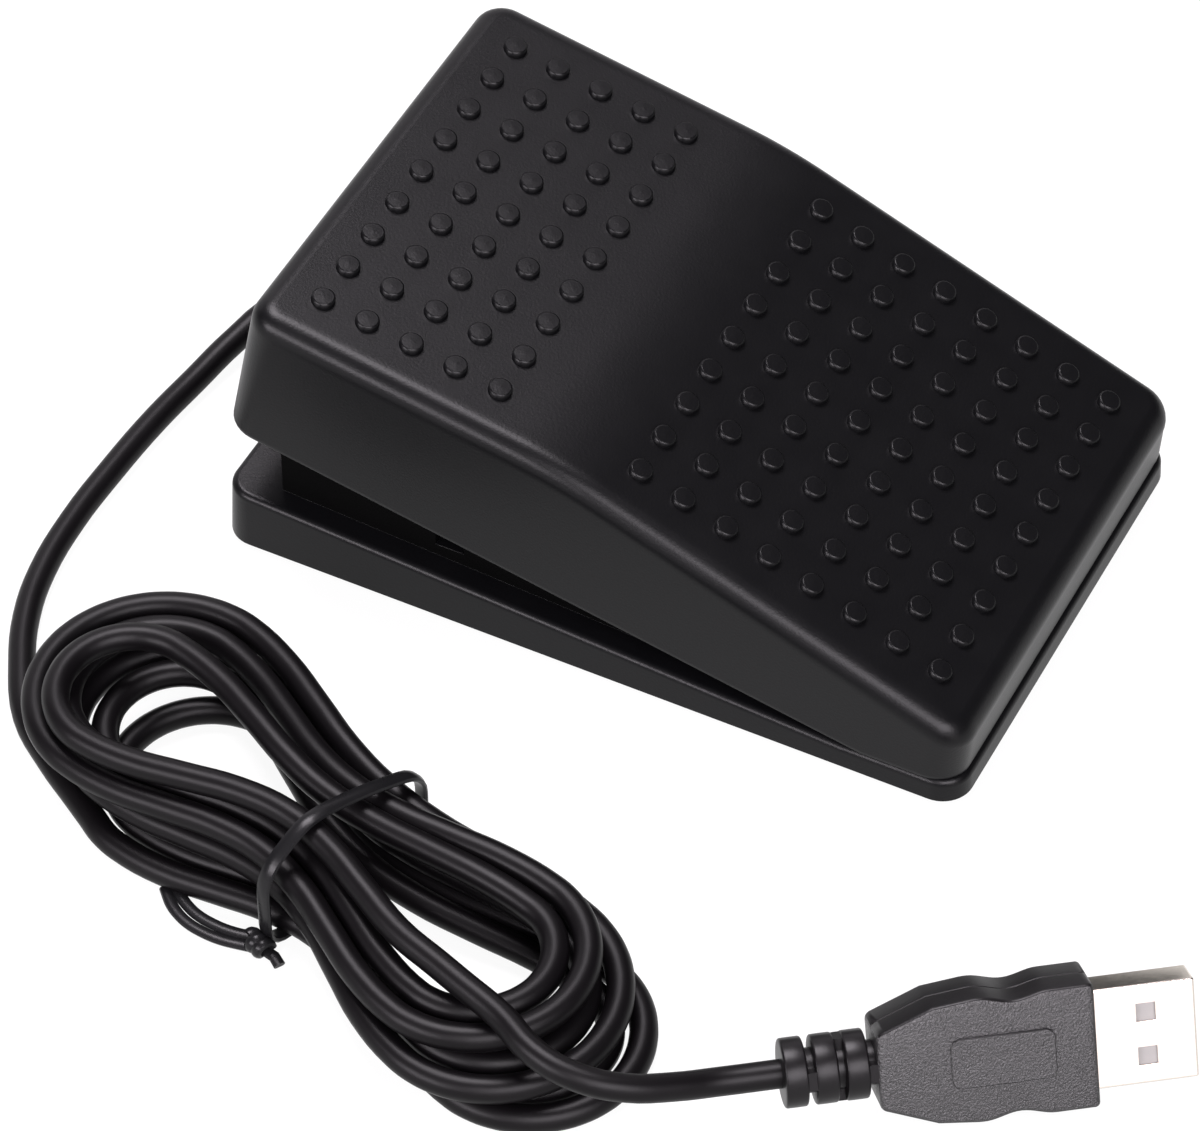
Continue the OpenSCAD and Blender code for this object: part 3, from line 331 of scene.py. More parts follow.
# The same ABS, drawn darker and with no sheen, on the walls that stand inside the rim: painted shade,
# so they read as shadow under the treadle.
painted_shade_abs = moulded("black_abs_painted_shade", "#030303", "#040404", 0.7, 0.3, 0.02, mirror=0.02)
base_tray.data.materials.append(painted_shade_abs)
rim_w, upright = 2, 0.5
# Painted shade: the upright walls inside the rim get the darker, sheenless ABS.
for face in base_tray.data.polygons:
    x, y = face.center.xy / mm
    if min(base_half_w - abs(x), base_half_l - abs(y)) > rim_w and abs(face.normal.z) < upright:
        face.material_index = 1
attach(base_tray, "base")
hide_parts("base_tray")

# Bottom plate: a flat black moulding that closes the tray and carries the board's posts. Four steel
# screws hold it, sunk in the plate, and four round rubber feet stand under the tray. Its ABS comes from
# a blasted mould, so it is an even, dull black, with a grain drawn at 0.3 mm to show.
matte_abs = moulded("matte_black_abs", "#0c0c0d", "#101011", 0.55, 0.3, 0.02)
bottom_plate = finished(merged_copy("bottom_plate"), "bottom_plate_moulding", matte_abs, edge_mm=0.25)
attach(bottom_plate, "base")
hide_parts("bottom_plate")

# Moulded rubber: dull and slightly cloudy, with hardly any mirror.
foot_rubber = moulded("black_foot_rubber", "#0e0e0e", "#141414", 0.8, 0.4, 0.03)
feet = finished(merged_copy("rubber_feet"), "rubber_feet_moulding", foot_rubber, edge_mm=0.25)
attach(feet, "base")
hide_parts("rubber_feet")


# Hinge pin, its clips and the switch's lever: a ground steel pin through the tray's posts and the
# treadle's eyes, a clip on each of its ends, and a lever stamped from spring strip. All are zinc plated.
def plated(name, colour, roughness, grain_mm):
    """A plated metal whose gloss changes a little from place to place."""
    gloss_band = 0.3
    material, tree = new_material(name)
    place = add_node(tree, "ShaderNodeTexCoord").outputs["Object"]
    grain = add_node(tree, "ShaderNodeTexNoise", inputs={
        "Vector": place, "Scale": 1 / (grain_mm * mm), "Detail": 3.0})
    rough = add_node(tree, "ShaderNodeMapRange", inputs={
        "Value": grain.outputs["Fac"], "To Min": roughness * (1 - gloss_band),
        "To Max": roughness * (1 + gloss_band)})
    shader = add_node(tree, "ShaderNodeBsdfPrincipled", inputs={
        "Base Color": linear(colour), "Metallic": 1.0, "Roughness": rough.outputs["Result"]})
    add_node(tree, "ShaderNodeOutputMaterial", inputs={"Surface": shader.outputs["BSDF"]})
    return material


def dress(node, material):
    """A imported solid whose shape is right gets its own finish."""
    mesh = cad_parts[node].data
    mesh.materials.clear()
    mesh.materials.append(material)


# Zinc plate: a bright, cool metal with soft reflections.
bright_steel = plated("zinc_plated_steel", "#c9cacc", 0.3, 0.5)
for node in ("hinge_pin", "pin_clips", "switch_lever"):
    dress(node, bright_steel)


# Screws: rolled steel, zinc plated, with round heads and a cross recess. Four hold the bottom plate to
# the tray from below, and four hold the circuit board to the plate's posts.
def sized_tree(name, sizes):
    """A geometry tree with a named input for each size, and its input node."""
    tree = bpy.data.node_groups.new(name, "GeometryNodeTree")
    tree.interface.new_socket("Geometry", in_out="OUTPUT", socket_type="NodeSocketGeometry")
    tree.interface.new_socket("Geometry", in_out="INPUT", socket_type="NodeSocketGeometry")
    kinds = {float: "Float", int: "Int", Vector: "Vector", bpy.types.Material: "Material"}
    for size, value in sizes.items():
        tree.interface.new_socket(size, in_out="INPUT", socket_type="NodeSocket" + kinds[type(value)])
    return tree, add_node(tree, "NodeGroupInput").outputs


def grown(piece, tree, sizes, crease=None):
    """Runs a geometry tree on a piece and leaves its result as the piece's plain mesh."""
    modifier = piece.modifiers.new(tree.name, "NODES")
    modifier.node_group = tree
    for socket in tree.interface.items_tree:
        if socket.name in sizes:
            modifier[socket.identifier] = sizes[socket.name]
    made = bpy.data.meshes.new_from_object(piece.evaluated_get(bpy.context.evaluated_depsgraph_get()))
    piece.modifiers.remove(modifier)
    piece.data = made
    if crease:
        made.set_sharp_from_angle(angle=math.radians(crease))


def soft_disc(tree, radius, height, softness, segments, rings):
    """A disc with a soft rim round the origin, lying flat: a ball pressed to a superellipse."""
    ball = add_node(tree, "GeometryNodeMeshUVSphere", inputs={
        "Segments": segments, "Rings": rings, "Radius": 1.0})
    place = add_node(tree, "GeometryNodeInputPosition").outputs["Position"]
    flat = add_node(tree, "ShaderNodeVectorMath", {"operation": "MULTIPLY"}, {0: place, 1: (1, 1, 0)})
    flat = flat.outputs["Vector"]
    off_axis = add_node(tree, "ShaderNodeVectorMath", {"operation": "LENGTH"}, {0: flat}).outputs["Value"]
    heading = add_node(tree, "ShaderNodeVectorMath", {"operation": "NORMALIZE"}, {0: flat})
    out = add_node(tree, "ShaderNodeMath", {"operation": "POWER"}, {0: off_axis, 1: softness})
    out = add_node(tree, "ShaderNodeMath", {"operation": "MULTIPLY"}, {0: out.outputs[0], 1: radius})
    spread = add_node(tree, "ShaderNodeVectorMath", {"operation": "SCALE"}, {
        0: heading.outputs["Vector"], "Scale": out.outputs[0]})
    z = add_node(tree, "ShaderNodeSeparateXYZ", inputs={0: place}).outputs["Z"]
    side = add_node(tree, "ShaderNodeMath", {"operation": "SIGN"}, {0: z})
    up = add_node(tree, "ShaderNodeMath", {"operation": "ABSOLUTE"}, {0: z})
    up = add_node(tree, "ShaderNodeMath", {"operation": "POWER"}, {0: up.outputs[0], 1: softness})
    up = add_node(tree, "ShaderNodeMath", {"operation": "MULTIPLY"}, {0: up.outputs[0], 1: height})
    up = add_node(tree, "ShaderNodeMath", {"operation": "MULTIPLY"}, {0: up.outputs[0], 1: side.outputs[0]})
    lift = add_node(tree, "ShaderNodeCombineXYZ", inputs={"Z": up.outputs[0]})
    moved = add_node(tree, "ShaderNodeVectorMath", {"operation": "ADD"}, {
        0: spread.outputs["Vector"], 1: lift.outputs["Vector"]})
    return add_node(tree, "GeometryNodeSetPosition", inputs={
        "Geometry": ball.outputs["Mesh"], "Position": moved.outputs["Vector"]}).outputs["Geometry"]


screw_head_h = 0.9
plate_screw_places = [(-23.9, -17.5, 0.8), (-14, 43, 0.8), (23.9, -17.5, 0.8), (14, 43, 0.8)]
board_screw_places = [(x, y, 8.5) for x in (-15.8, 15.8) for y in (-12.8, 16.8)]
for node, places, shank_l, turn in (("plate_screws", plate_screw_places, 5, math.pi),
                                    ("board_screws", board_screw_places, 4, 0)):
    screw_sizes = {
        "Head radius": 1.9 * mm, "Half head": screw_head_h / 2 * mm, "Rim softness": 0.3,
        "Recess": Vector((2.2, 0.55, 1.0)) * mm, "Shank radius": 1.0 * mm, "Shank length": shank_l * mm,
        "Shank middle": Vector((0, 0, -screw_head_h - shank_l / 2)) * mm,
        "Head middle": Vector((0, 0, -screw_head_h / 2)) * mm, "Quarter turn": Vector((0, 0, math.pi / 2)),
        "Facing": Vector((turn, 0, 0)), "Finish": bright_steel}
    tree, size = sized_tree(node + "_tree", screw_sizes)
    head = soft_disc(tree, size["Head radius"], size["Half head"], size["Rim softness"], segments=24, rings=12)
    head = add_node(tree, "GeometryNodeTransform", inputs={
        "Geometry": head, "Translation": size["Head middle"]})
    slot = add_node(tree, "GeometryNodeMeshCube", inputs={"Size": size["Recess"]}).outputs["Mesh"]
    crossed = add_node(tree, "GeometryNodeTransform", inputs={
        "Geometry": slot, "Rotation": size["Quarter turn"]})
    cut = add_node(tree, "GeometryNodeMeshBoolean", {"operation": "DIFFERENCE"}, {
        "Mesh 1": head.outputs["Geometry"], "Mesh 2": slot})
    cut = add_node(tree, "GeometryNodeMeshBoolean", {"operation": "DIFFERENCE"}, {
        "Mesh 1": cut.outputs["Mesh"], "Mesh 2": crossed.outputs["Geometry"]})
    shank = add_node(tree, "GeometryNodeMeshCylinder", inputs={
        "Vertices": 20, "Radius": size["Shank radius"], "Depth": size["Shank length"]})
    shank = add_node(tree, "GeometryNodeTransform", inputs={
        "Geometry": shank.outputs["Mesh"], "Translation": size["Shank middle"]})
    screw = add_node(tree, "GeometryNodeJoinGeometry")
    tree.links.new(cut.outputs["Mesh"], screw.inputs["Geometry"])
    tree.links.new(shank.outputs["Geometry"], screw.inputs["Geometry"])
    faced = add_node(tree, "GeometryNodeTransform", inputs={
        "Geometry": screw.outputs["Geometry"], "Rotation": size["Facing"]})
    soft = add_node(tree, "GeometryNodeSetShadeSmooth", inputs={"Geometry": faced.outputs["Geometry"]})
    set_in = add_node(tree, "GeometryNodeInstanceOnPoints", inputs={
        "Points": size["Geometry"], "Instance": soft.outputs["Geometry"]})
    plain = add_node(tree, "GeometryNodeRealizeInstances", inputs={"Geometry": set_in.outputs["Instances"]})
    coated = add_node(tree, "GeometryNodeSetMaterial", inputs={
        "Geometry": plain.outputs["Geometry"], "Material": size["Finish"]})
    add_node(tree, "NodeGroupOutput", inputs={"Geometry": coated.outputs["Geometry"]})
    places_mesh = bpy.data.meshes.new(node + "_cross_head")
    places_mesh.from_pydata([to_metres @ Vector(p) for p in places], [], [])
    screws = bpy.data.objects.new(node + "_cross_head", places_mesh)
    bpy.context.scene.collection.objects.link(screws)
    grown(screws, tree, screw_sizes, crease=35)
    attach(screws, "base")
    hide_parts(node)

# Return springs: two coils of bright spring wire, each held by a post on the deck and one under the
# treadle's roof. They are drawn at rest and stay so as the treadle goes down.
spring_r, wire_r, spring_turns, places_per_coil = 4, 0.45, 7, 24
end_closing = 0.25
spring_low, spring_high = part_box("return_springs")
coil_from, coil_to = spring_low.z / mm + wire_r, spring_high.z / mm - wire_r
spring_places = [(-17, 33), (17, 33)]


def skin(bm, rings, meets=False):
    """Faces between closed rings of places; the end rings are capped unless the last meets the first."""
    rows = [[bm.verts.new(p) for p in ring] for ring in rings]
    count = len(rows[0])
    for a, b in zip(rows, rows[1:] + rows[:1] if meets else rows[1:]):
        for k in range(count):
            bm.faces.new((a[k], a[(k + 1) % count], b[(k + 1) % count], b[k]))
    if not meets:
        bm.faces.new(rows[0][::-1])
        bm.faces.new(rows[-1])
    return rows


def swept(path, section, up, meets=False):
    """Rings of a flat section carried along a path, with the section's second axis kept nearest to up."""
    rings = []
    for k, at in enumerate(path):
        before = path[k - 1] if k or meets else at
        after = path[(k + 1) % len(path)] if k + 1 < len(path) or meets else at
        along = (after - before).normalized()
        side = along.cross(up[k] if isinstance(up, list) else up).normalized()
        over = side.cross(along)
        rings.append([at + side * a + over * b for a, b in section])
    return rings


def around(r, sides):
    """A round section."""
    turns = [2 * math.pi * k / sides for k in range(sides)]
    return [(r * math.cos(t), r * math.sin(t)) for t in turns]


bm = bmesh.new()
coil_steps = places_per_coil * spring_turns
for x, y in spring_places:
    coil = []
    for k in range(coil_steps + 1):
        turn, done = 2 * math.pi * k / places_per_coil, k / coil_steps
        rise = smooth(done) * end_closing + done * (1 - end_closing)
        coil.append(Vector((x + spring_r * math.cos(turn), y + spring_r * math.sin(turn),
                            coil_from + (coil_to - coil_from) * rise)))
    skin(bm, swept(coil, around(wire_r, sides=8), Vector((0, 0, 1))))
bmesh.ops.recalc_face_normals(bm, faces=bm.faces)
bm.transform(to_metres)
# Drawn spring wire: a bright grey metal with narrow highlights on each coil.
spring_wire = plated("bright_spring_wire", "#b9babd", 0.25, 0.3)
springs = finished(bm, "return_spring_coils", spring_wire)
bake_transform(springs)
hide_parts("return_springs")

# Circuit board: green solder-masked glass laminate on the plate's posts, with a controller chip, a
# clock crystal in its can, small ceramic parts, and a header where the cord's wires are pressed in.
# The board's cured solder mask is a glossy, slightly cloudy green.
dress("circuit_board", moulded("green_solder_mask", "#0d3b22", "#12502e", 0.3, 0.4, 0.01, mottle_mm=3))
# Pressed epoxy: an even, dull black.
dress("controller_chip", moulded("black_epoxy", "#121213", "#19191a", 0.6, 0.15, 0.01))
# Drawn metal can: bright, with soft reflections.
dress("clock_crystal", plated("bright_crystal_can", "#cfcfd2", 0.22, 0.4))
# Fired ceramic: a chalky tan.
dress("board_parts", moulded("tan_ceramic", "#7a5a3c", "#8f6c49", 0.5, 0.2, 0.005))
# Moulded nylon: ivory, with a soft sheen.
dress("wire_header", moulded("ivory_nylon", "#d8d2bf", "#e2dccb", 0.45, 0.3, 0.01))
# Extruded wire insulation: a smooth red.
dress("inner_wires", moulded("red_wire_insulation", "#7d1414", "#8f1a1a", 0.35, 0.5, 0.004))
dress("inner_cable", cord_jacket)

# Snap switch: a black moulded case soldered to the board by three tinned brass terminals, with a
# red plunger under the lever. The case's moulded nylon is a soft black.
dress("switch_case", moulded("black_switch_nylon", "#141416", "#1b1b1d", 0.5, 0.2, 0.008))
# Tinned brass: a pale, yellowish metal.
dress("switch_terminals", plated("tinned_brass", "#c8b98a", 0.3, 0.3))
# Moulded acetal: a waxy red.
dress("switch_plunger", moulded("red_acetal", "#8c1710", "#9d1d15", 0.35, 0.3, 0.004))

# Treadle: one hollow moulding of black ABS, its mould spark-eroded to a satin, with a flat part, a
# sloped part and a lattice of low round studs for grip. It turns on the hinge pin at its low end.
tilt, slope = math.radians(11), math.radians(10.6)
hinge = Vector((0, -34, 9))
treadle_frame = Matrix.Translation(hinge) @ Matrix.Rotation(tilt, 4, "X")
reach, toe, flat_l, face_h, treadle_wall, skirt_h = 83.4824, 15.4859, 42.3, 17, 2.2, 4.2
treadle_half_w, corner_r, edge_r, bend_r, rim_r = 32, 4, 2.6, 60, 0.35
toe_edge_z, toe_lean = 4.15, 0.55
bend_y = reach - flat_l
bend_half = bend_r * math.tan(slope / 2)


def face_at(y):
    """Height of the treadle's top over the hinge: flat, a wide bend, then the slope."""
    into = bend_y + bend_half - y
    if into <= 0:
        return face_h
    if into < bend_r * math.sin(slope):
        return face_h - bend_r + math.sqrt(bend_r ** 2 - into ** 2)
    return face_h - (bend_y - y) * math.tan(slope)


def roof_at(y):
    """Height of the hollow's roof."""
    return face_at(y) - treadle_wall


def skirt_at(y):
    """The skirt's lower edge: parallel to the flat part, then level over the base's toe end."""
    return max(-skirt_h, (toe_edge_z - hinge.z - y * math.sin(tilt)) / math.cos(tilt))


# The skin's rows run along the treadle, close together at its corners and over the bend, and its columns
# run across, close together at the sides.
columns = [0, 0.01, 0.03, 0.2, 0.4, 0.6, 0.8, 0.97, 0.99, 1]
corner_steps, edge_steps, side_lead, rim_lead = 8, 8, 0.5, 0.4
low_corner, high_corner = corner_r - toe, reach - corner_r
level_stretch = (toe_edge_z - hinge.z + skirt_h * math.cos(tilt)) / math.sin(tilt)
side_places = [low_corner, low_corner + 0.6, low_corner + 6, level_stretch, bend_y - 20, bend_y - 8]
side_places += [bend_y + bend_half - 12 + k for k in range(14)]
side_places += [bend_y + 20, high_corner - 0.6, high_corner]
corner_turns = [math.pi / 2 * k / corner_steps for k in range(1, corner_steps + 1)]
rows = [(low_corner, math.cos(t), -math.sin(t)) for t in corner_turns[::-1]]
rows += [(y, 1, 0) for y in sorted(side_places)]
rows += [(high_corner, math.cos(t), math.sin(t)) for t in corner_turns]
last_row, last_column = len(rows) - 1, len(columns) - 1


def sheet_place(row, column, inset, height, lean=0):
    """A place on the treadle's skin at an inset from its outline; lean moves the toe end outwards."""
    y, out_x, out_y = rows[row]
    at_y = y + out_y * (corner_r - inset) + min(out_y, 0) * lean
    edge_x = treadle_half_w - corner_r + out_x * (corner_r - inset)
    return Vector((edge_x * (1 - 2 * columns[column]), at_y, height(at_y)))


outline = [(r, 0) for r in range(last_row)] + [(last_row, c) for c in range(last_column)]
outline += [(r, last_column) for r in range(last_row, 0, -1)] + [(0, c) for c in range(last_column, 0, -1)]
# Each ring of the skin: inset, lift over a line of heights, that line, and lean. The rings go from the
# roof inside down to the skirt's rim, up outside and round the top edge.
rim_mid = 0.3 * rim_r
levels = [(treadle_wall, 0, roof_at, 0), (treadle_wall, 0, skirt_at, 0), (rim_r, 0, skirt_at, toe_lean),
          (rim_mid, rim_mid, skirt_at, toe_lean), (0, rim_r, skirt_at, toe_lean),
          (0, rim_r + rim_lead, skirt_at, toe_lean), (0, -edge_r - side_lead, face_at, 0)]
for k in range(edge_steps + 1):
    t = math.pi / 2 * k / edge_steps
    levels.append((edge_r * (1 - math.cos(t)), -edge_r * (1 - math.sin(t)), face_at, 0))
bm = bmesh.new()
skin_rings = [[bm.verts.new(sheet_place(r, c, inset, lambda y: height(y) + lift, lean)) for r, c in outline]
              for inset, lift, height, lean in levels]
for a, b in zip(skin_rings, skin_rings[1:]):
    for k in range(len(outline)):
        n = (k + 1) % len(outline)
        bm.faces.new((a[k], a[n], b[n], b[k]))
for border, inset, height in ((skin_rings[0], treadle_wall, roof_at), (skin_rings[-1], edge_r, face_at)):
    grid = dict(zip(outline, border))
    for r in range(1, last_row):
        for c in range(1, last_column):
            grid[r, c] = bm.verts.new(sheet_place(r, c, inset, height))
    for r in range(last_row):
        for c in range(last_column):
            bm.faces.new((grid[r, c], grid[r, c + 1], grid[r + 1, c + 1], grid[r + 1, c]))

# Moulded on inside: two hinge eyes, two stop pegs, two spring posts and the post that pushes the switch.
eye_x, eye_t, eye_r, pin_bore, post_sides = 21.35, 4, 3.4, 1.55, 20
peg_y, peg_z, peg_r, peg_from, peg_to = 54, -2, 1.25, 26.8, 30.3
spring_post_y, spring_post_r, spring_post_l = 71.13, 2.2, 4
push_tip, push_r, rooted = (37.42, 3.85), 2, 0.6


def eye_edge(t, top):
    """A hinge eye's outline seen along the pin: round below, square up to the roof above."""
    a, b = math.cos(t), math.sin(t)
    far = eye_r if b <= 0 else min(eye_r / max(abs(a), 1e-6), top / b)
    return a * far, b * far


eye_sides = 32
body = [eye_edge(2 * math.pi * k / eye_sides, roof_at(eye_r) + rooted) for k in range(eye_sides)]
bore = around(pin_bore, eye_sides)
peg, spring_post, push_post = (around(r, post_sides) for r in (peg_r, spring_post_r, push_r))
flat_roof = face_h - treadle_wall
for side in (-1, 1):
    near_x, far_x, post_x = side * eye_x, side * (eye_x + eye_t), side * spring_places[1][0]
    skin(bm, [[Vector((x, a, b)) for a, b in ring]
              for x, ring in ((near_x, body), (far_x, body), (far_x, bore), (near_x, bore))], meets=True)
    skin(bm, [[Vector((side * x, peg_y + a, peg_z + b)) for a, b in peg] for x in (peg_from, peg_to)])
    skin(bm, [[Vector((post_x + a, spring_post_y + b, z)) for a, b in spring_post]
              for z in (flat_roof - spring_post_l, flat_roof + rooted)])
skin(bm, [[Vector((a, push_tip[0] + b, z)) for a, b in push_post]
          for z in (push_tip[1], roof_at(push_tip[0]) + rooted)])
bmesh.ops.recalc_face_normals(bm, faces=bm.faces)
bm.transform(to_metres @ treadle_frame)
treadle = finished(bm, "treadle_cover", satin_abs, crease=50)


# Studs of the treadle: moulded in one with it, flat on top with a soft rim, nine across in five rows
# on the flat part and eight on the slope.
across, pitch_x, flat_first, flat_pitch, flat_rows = 9, 6.2, 7, 6.0, 5
slope_first, slope_pitch, slope_rows = 8, 6.0503, 8
flat_mid = Vector((0, reach - flat_first - flat_pitch * (flat_rows - 1) / 2, face_h))
down_slope = slope_first + slope_pitch * (slope_rows - 1) / 2
slope_mid = Vector((0, bend_y - down_slope * math.cos(slope), face_h - down_slope * math.sin(slope)))
stud_sizes = {
    "Stud radius": 1.5 * mm, "Stud height": 0.8 * mm, "Rim softness": 0.28,
    "Studs across": across, "Width": pitch_x * (across - 1) * mm,
    "Flat rows": flat_rows, "Flat length": flat_pitch * (flat_rows - 1) * mm,
    "Flat middle": to_metres @ treadle_frame @ flat_mid, "Flat turn": Vector((tilt, 0, 0)),
    "Slope rows": slope_rows, "Slope length": slope_pitch * (slope_rows - 1) * mm,
    "Slope middle": to_metres @ treadle_frame @ slope_mid, "Slope turn": Vector((tilt + slope, 0, 0)),
    "Finish": satin_abs}
hidden_below, flat_top = -0.01 * mm, 0.95
tree, size = sized_tree("treadle_studs", stud_sizes)
stud = soft_disc(tree, size["Stud radius"], size["Stud height"], size["Rim softness"], segments=16, rings=6)
over_face = add_node(tree, "ShaderNodeSeparateXYZ", inputs={
    0: add_node(tree, "GeometryNodeInputPosition").outputs["Position"]}).outputs["Z"]
under = add_node(tree, "FunctionNodeCompare", {"operation": "LESS_THAN"}, {0: over_face, 1: hidden_below})
stud = add_node(tree, "GeometryNodeDeleteGeometry", inputs={
    "Geometry": stud, "Selection": under.outputs["Result"]}).outputs["Geometry"]
facing_up = add_node(tree, "ShaderNodeSeparateXYZ", inputs={
    0: add_node(tree, "GeometryNodeInputNormal").outputs["Normal"]}).outputs["Z"]
rim = add_node(tree, "FunctionNodeCompare", {"operation": "LESS_THAN"}, {0: facing_up, 1: flat_top})
stud = add_node(tree, "GeometryNodeSetShadeSmooth", inputs={
    "Geometry": stud, "Selection": rim.outputs["Result"]}).outputs["Geometry"]
joined = add_node(tree, "GeometryNodeJoinGeometry")
for part in ("Flat", "Slope"):
    lattice = add_node(tree, "GeometryNodeMeshGrid", inputs={
        "Size X": size["Width"], "Size Y": size[part + " length"],
        "Vertices X": size["Studs across"], "Vertices Y": size[part + " rows"]})
    studs = add_node(tree, "GeometryNodeInstanceOnPoints", inputs={
        "Points": lattice.outputs["Mesh"], "Instance": stud})
    set_down = add_node(tree, "GeometryNodeTransform", inputs={
        "Geometry": studs.outputs["Instances"], "Translation": size[part + " middle"],
        "Rotation": size[part + " turn"]})
    tree.links.new(set_down.outputs["Geometry"], joined.inputs["Geometry"])
tree.links.new(size["Geometry"], joined.inputs["Geometry"])
plain = add_node(tree, "GeometryNodeRealizeInstances", inputs={"Geometry": joined.outputs["Geometry"]})
coated = add_node(tree, "GeometryNodeSetMaterial", inputs={
    "Geometry": plain.outputs["Geometry"], "Material": size["Finish"]})
add_node(tree, "NodeGroupOutput", inputs={"Geometry": coated.outputs["Geometry"]})
grown(treadle, tree, stud_sizes)
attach(treadle, "pedal")
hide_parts("pedal_cover")

# Grommet: a collar of soft black PVC moulded round the cord, so that it can't be pulled out. Its flange
# holds it in the tray's high wall. Its blasted mould leaves it matte, a shade lighter than the cord.
grommet_pvc = moulded("matte_black_soft_pvc", "#0d0d0e", "#121213", 0.55, 0.5, 0.01)
grommet = finished(merged_copy("cable_grommet"), "cord_grommet", grommet_pvc, edge_mm=0.4)
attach(grommet, "base")
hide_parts("cable_grommet")

# Tie: a flat strip of black vinyl pulled round the hank's waist, twisted to a knot on the side away
# from the pedal, with its doubled end lying against the hank.
tie_w, tie_t, tie_play, tie_corner = 2, 0.8, 0.3, 3.4
end_w, end_t, end_apart, end_roll, end_corner = 1.5, 0.8, 0.75, 0.15, 2.5
# The strip's section in widths and thicknesses, a little crowned on its outer face.
strip = [(0.5, 0), (0.42, 0.35), (0.25, 0.5), (0, 0.58), (-0.25, 0.5), (-0.42, 0.35), (-0.5, 0),
         (-0.42, -0.35), (-0.25, -0.5), (0.25, -0.5), (0.42, -0.35)]


def rounded_path(corners, cut, meets):
    """A path of straight stretches whose corners are rounded off by curves that start a cut before them."""
    most, stops = 0.45, (0, 0.2, 0.4, 0.6, 0.8, 1)
    path = []
    for k, at in enumerate(corners):
        if not meets and k in (0, len(corners) - 1):
            path.append(at)
            continue
        before, after = corners[k - 1], corners[(k + 1) % len(corners)]
        a = at + (before - at) * min(most, cut / (before - at).length)
        b = at + (after - at) * min(most, cut / (after - at).length)
        path += [a.lerp(at, f).lerp(at.lerp(b, f), f) for f in stops]
    return path


def waist_top(s):
    """Height of the tie's middle over the cord at turn number s."""
    return cord_d + climbed(s) + tie_lift + tie_play + tie_t / 2


tie_slack = (0.8, 1.6)
tie_right = turn_radius(4) - waist_in + cord_r + tie_slack[0] + tie_play + tie_t / 2
tie_left = turn_radius(4.5) - waist_in + cord_r + tie_slack[1] + tie_play + tie_t / 2
top_run = turn_radius(6.5) - waist_in
tie_low = 0.6 * tie_t
round_waist = [(tie_right, tie_low), (tie_right, waist_top(4)),
               (turn_radius(6) - waist_in + cord_r, waist_top(6)), (cord_r - top_run, waist_top(6.5)),
               (-cord_r - top_run, waist_top(6.5)), (-tie_left, waist_top(4.5)), (-tie_left, tie_low)]
band_path = rounded_path([Vector((x, 0, z)) for x, z in round_waist], tie_corner, True)
bm = bmesh.new()
centre = sum(band_path, Vector()) / len(band_path)
flat_strip = [(a * tie_w, b * tie_t) for a, b in strip]
outwards = []
for k, at in enumerate(band_path):
    along = band_path[(k + 1) % len(band_path)] - band_path[k - 1]
    normal = along.cross(Vector((0, 1, 0))).normalized()
    outwards.append(normal if normal.dot(at - centre) > 0 else -normal)
skin(bm, swept(band_path, flat_strip, outwards, meets=True), meets=True)

knot = Vector((-tie_left - 1.3, 0, 1.9))
wraps, wrap_r, wrap_w, wrap_t, wrap_l, wrap_steps = 2.3, 0.95, 1.5, 0.9, 2.55, 36
wrap_out = []
for k in range(wrap_steps + 1):
    t = 2 * math.pi * wraps * k / wrap_steps
    wrap_out.append(Vector((wrap_r * math.cos(t), 0, wrap_r * math.sin(t))))
wrap_path = [knot + out + Vector((0, wrap_l * (k / wrap_steps - 0.5), 0)) for k, out in enumerate(wrap_out)]
skin(bm, swept(wrap_path, [(a * wrap_w, b * wrap_t) for a, b in strip], wrap_out))
end_strip, upwards = [(a * end_w, b * end_t) for a, b in strip], Vector((0, 0, 1))
doubled_end = [(0.2, 0.8, -0.6), (-1.6, 4.5, -0.9), (-2.4, 8.6, -1.1), (-1.9, 12, -1.2), (-0.4, 14.8, -1.3)]
for aside in (-end_apart, end_apart):
    along = [knot + Vector(p) + Vector((aside, 0, end_roll * aside)) for p in doubled_end]
    skin(bm, swept(rounded_path(along, end_corner, False), end_strip, upwards))
cut_end = [knot + Vector(p) for p in ((0.2, -0.6, -0.6), (0.5, -2.2, -0.9), (0.2, -3.4, -1.2))]
skin(bm, swept(cut_end, end_strip, upwards))
bmesh.ops.recalc_face_normals(bm, faces=bm.faces)
bm.transform(to_metres @ hank_frame)
# Pressed vinyl strip: black and glossy, with long highlights along its bends.
tie_vinyl = moulded("glossy_black_vinyl", "#0b0b0c", "#101011", 0.28, 0.8, 0.01)
tie = finished(bm, "vinyl_hank_tie", tie_vinyl, crease=40)
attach(tie, "base")
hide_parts("hank_tie")

# Plug grip: soft black PVC moulded over the plug's shell and the cord's end. Its broad faces have a
# spark-eroded grain and a raised plain panel, and its scooped narrow sides are polished.
plug_turn = Matrix.Rotation(plug_yaw, 4, "Z") @ Matrix.Rotation(plug_roll, 4, "X")
plug_frame = Matrix.Translation(plug_start) @ plug_turn
relief_l, grip_l, grip_half_w, grip_half_t = 10.5, 25, 7.5, 4
shoulders = [(0, 4.5), (0.26, 7.0), (0.45, grip_half_w), (1, grip_half_w)]
scoop_from, scoop_to, scoop_depth = 0.47, 0.80, 0.75


def rounded_block(half_w, half_t, radii, steps=5):
    """A rectangle with round corners, as places round it."""
    places = []
    for k, (sx, sy) in enumerate(((1, 1), (-1, 1), (-1, -1), (1, -1))):
        r = radii[k]
        for n in range(steps + 1):
            t = math.pi / 2 * (k + n / steps)
            places.append((sx * (half_w - r) + r * math.cos(t), sy * (half_t - r) + r * math.sin(t)))
    return places


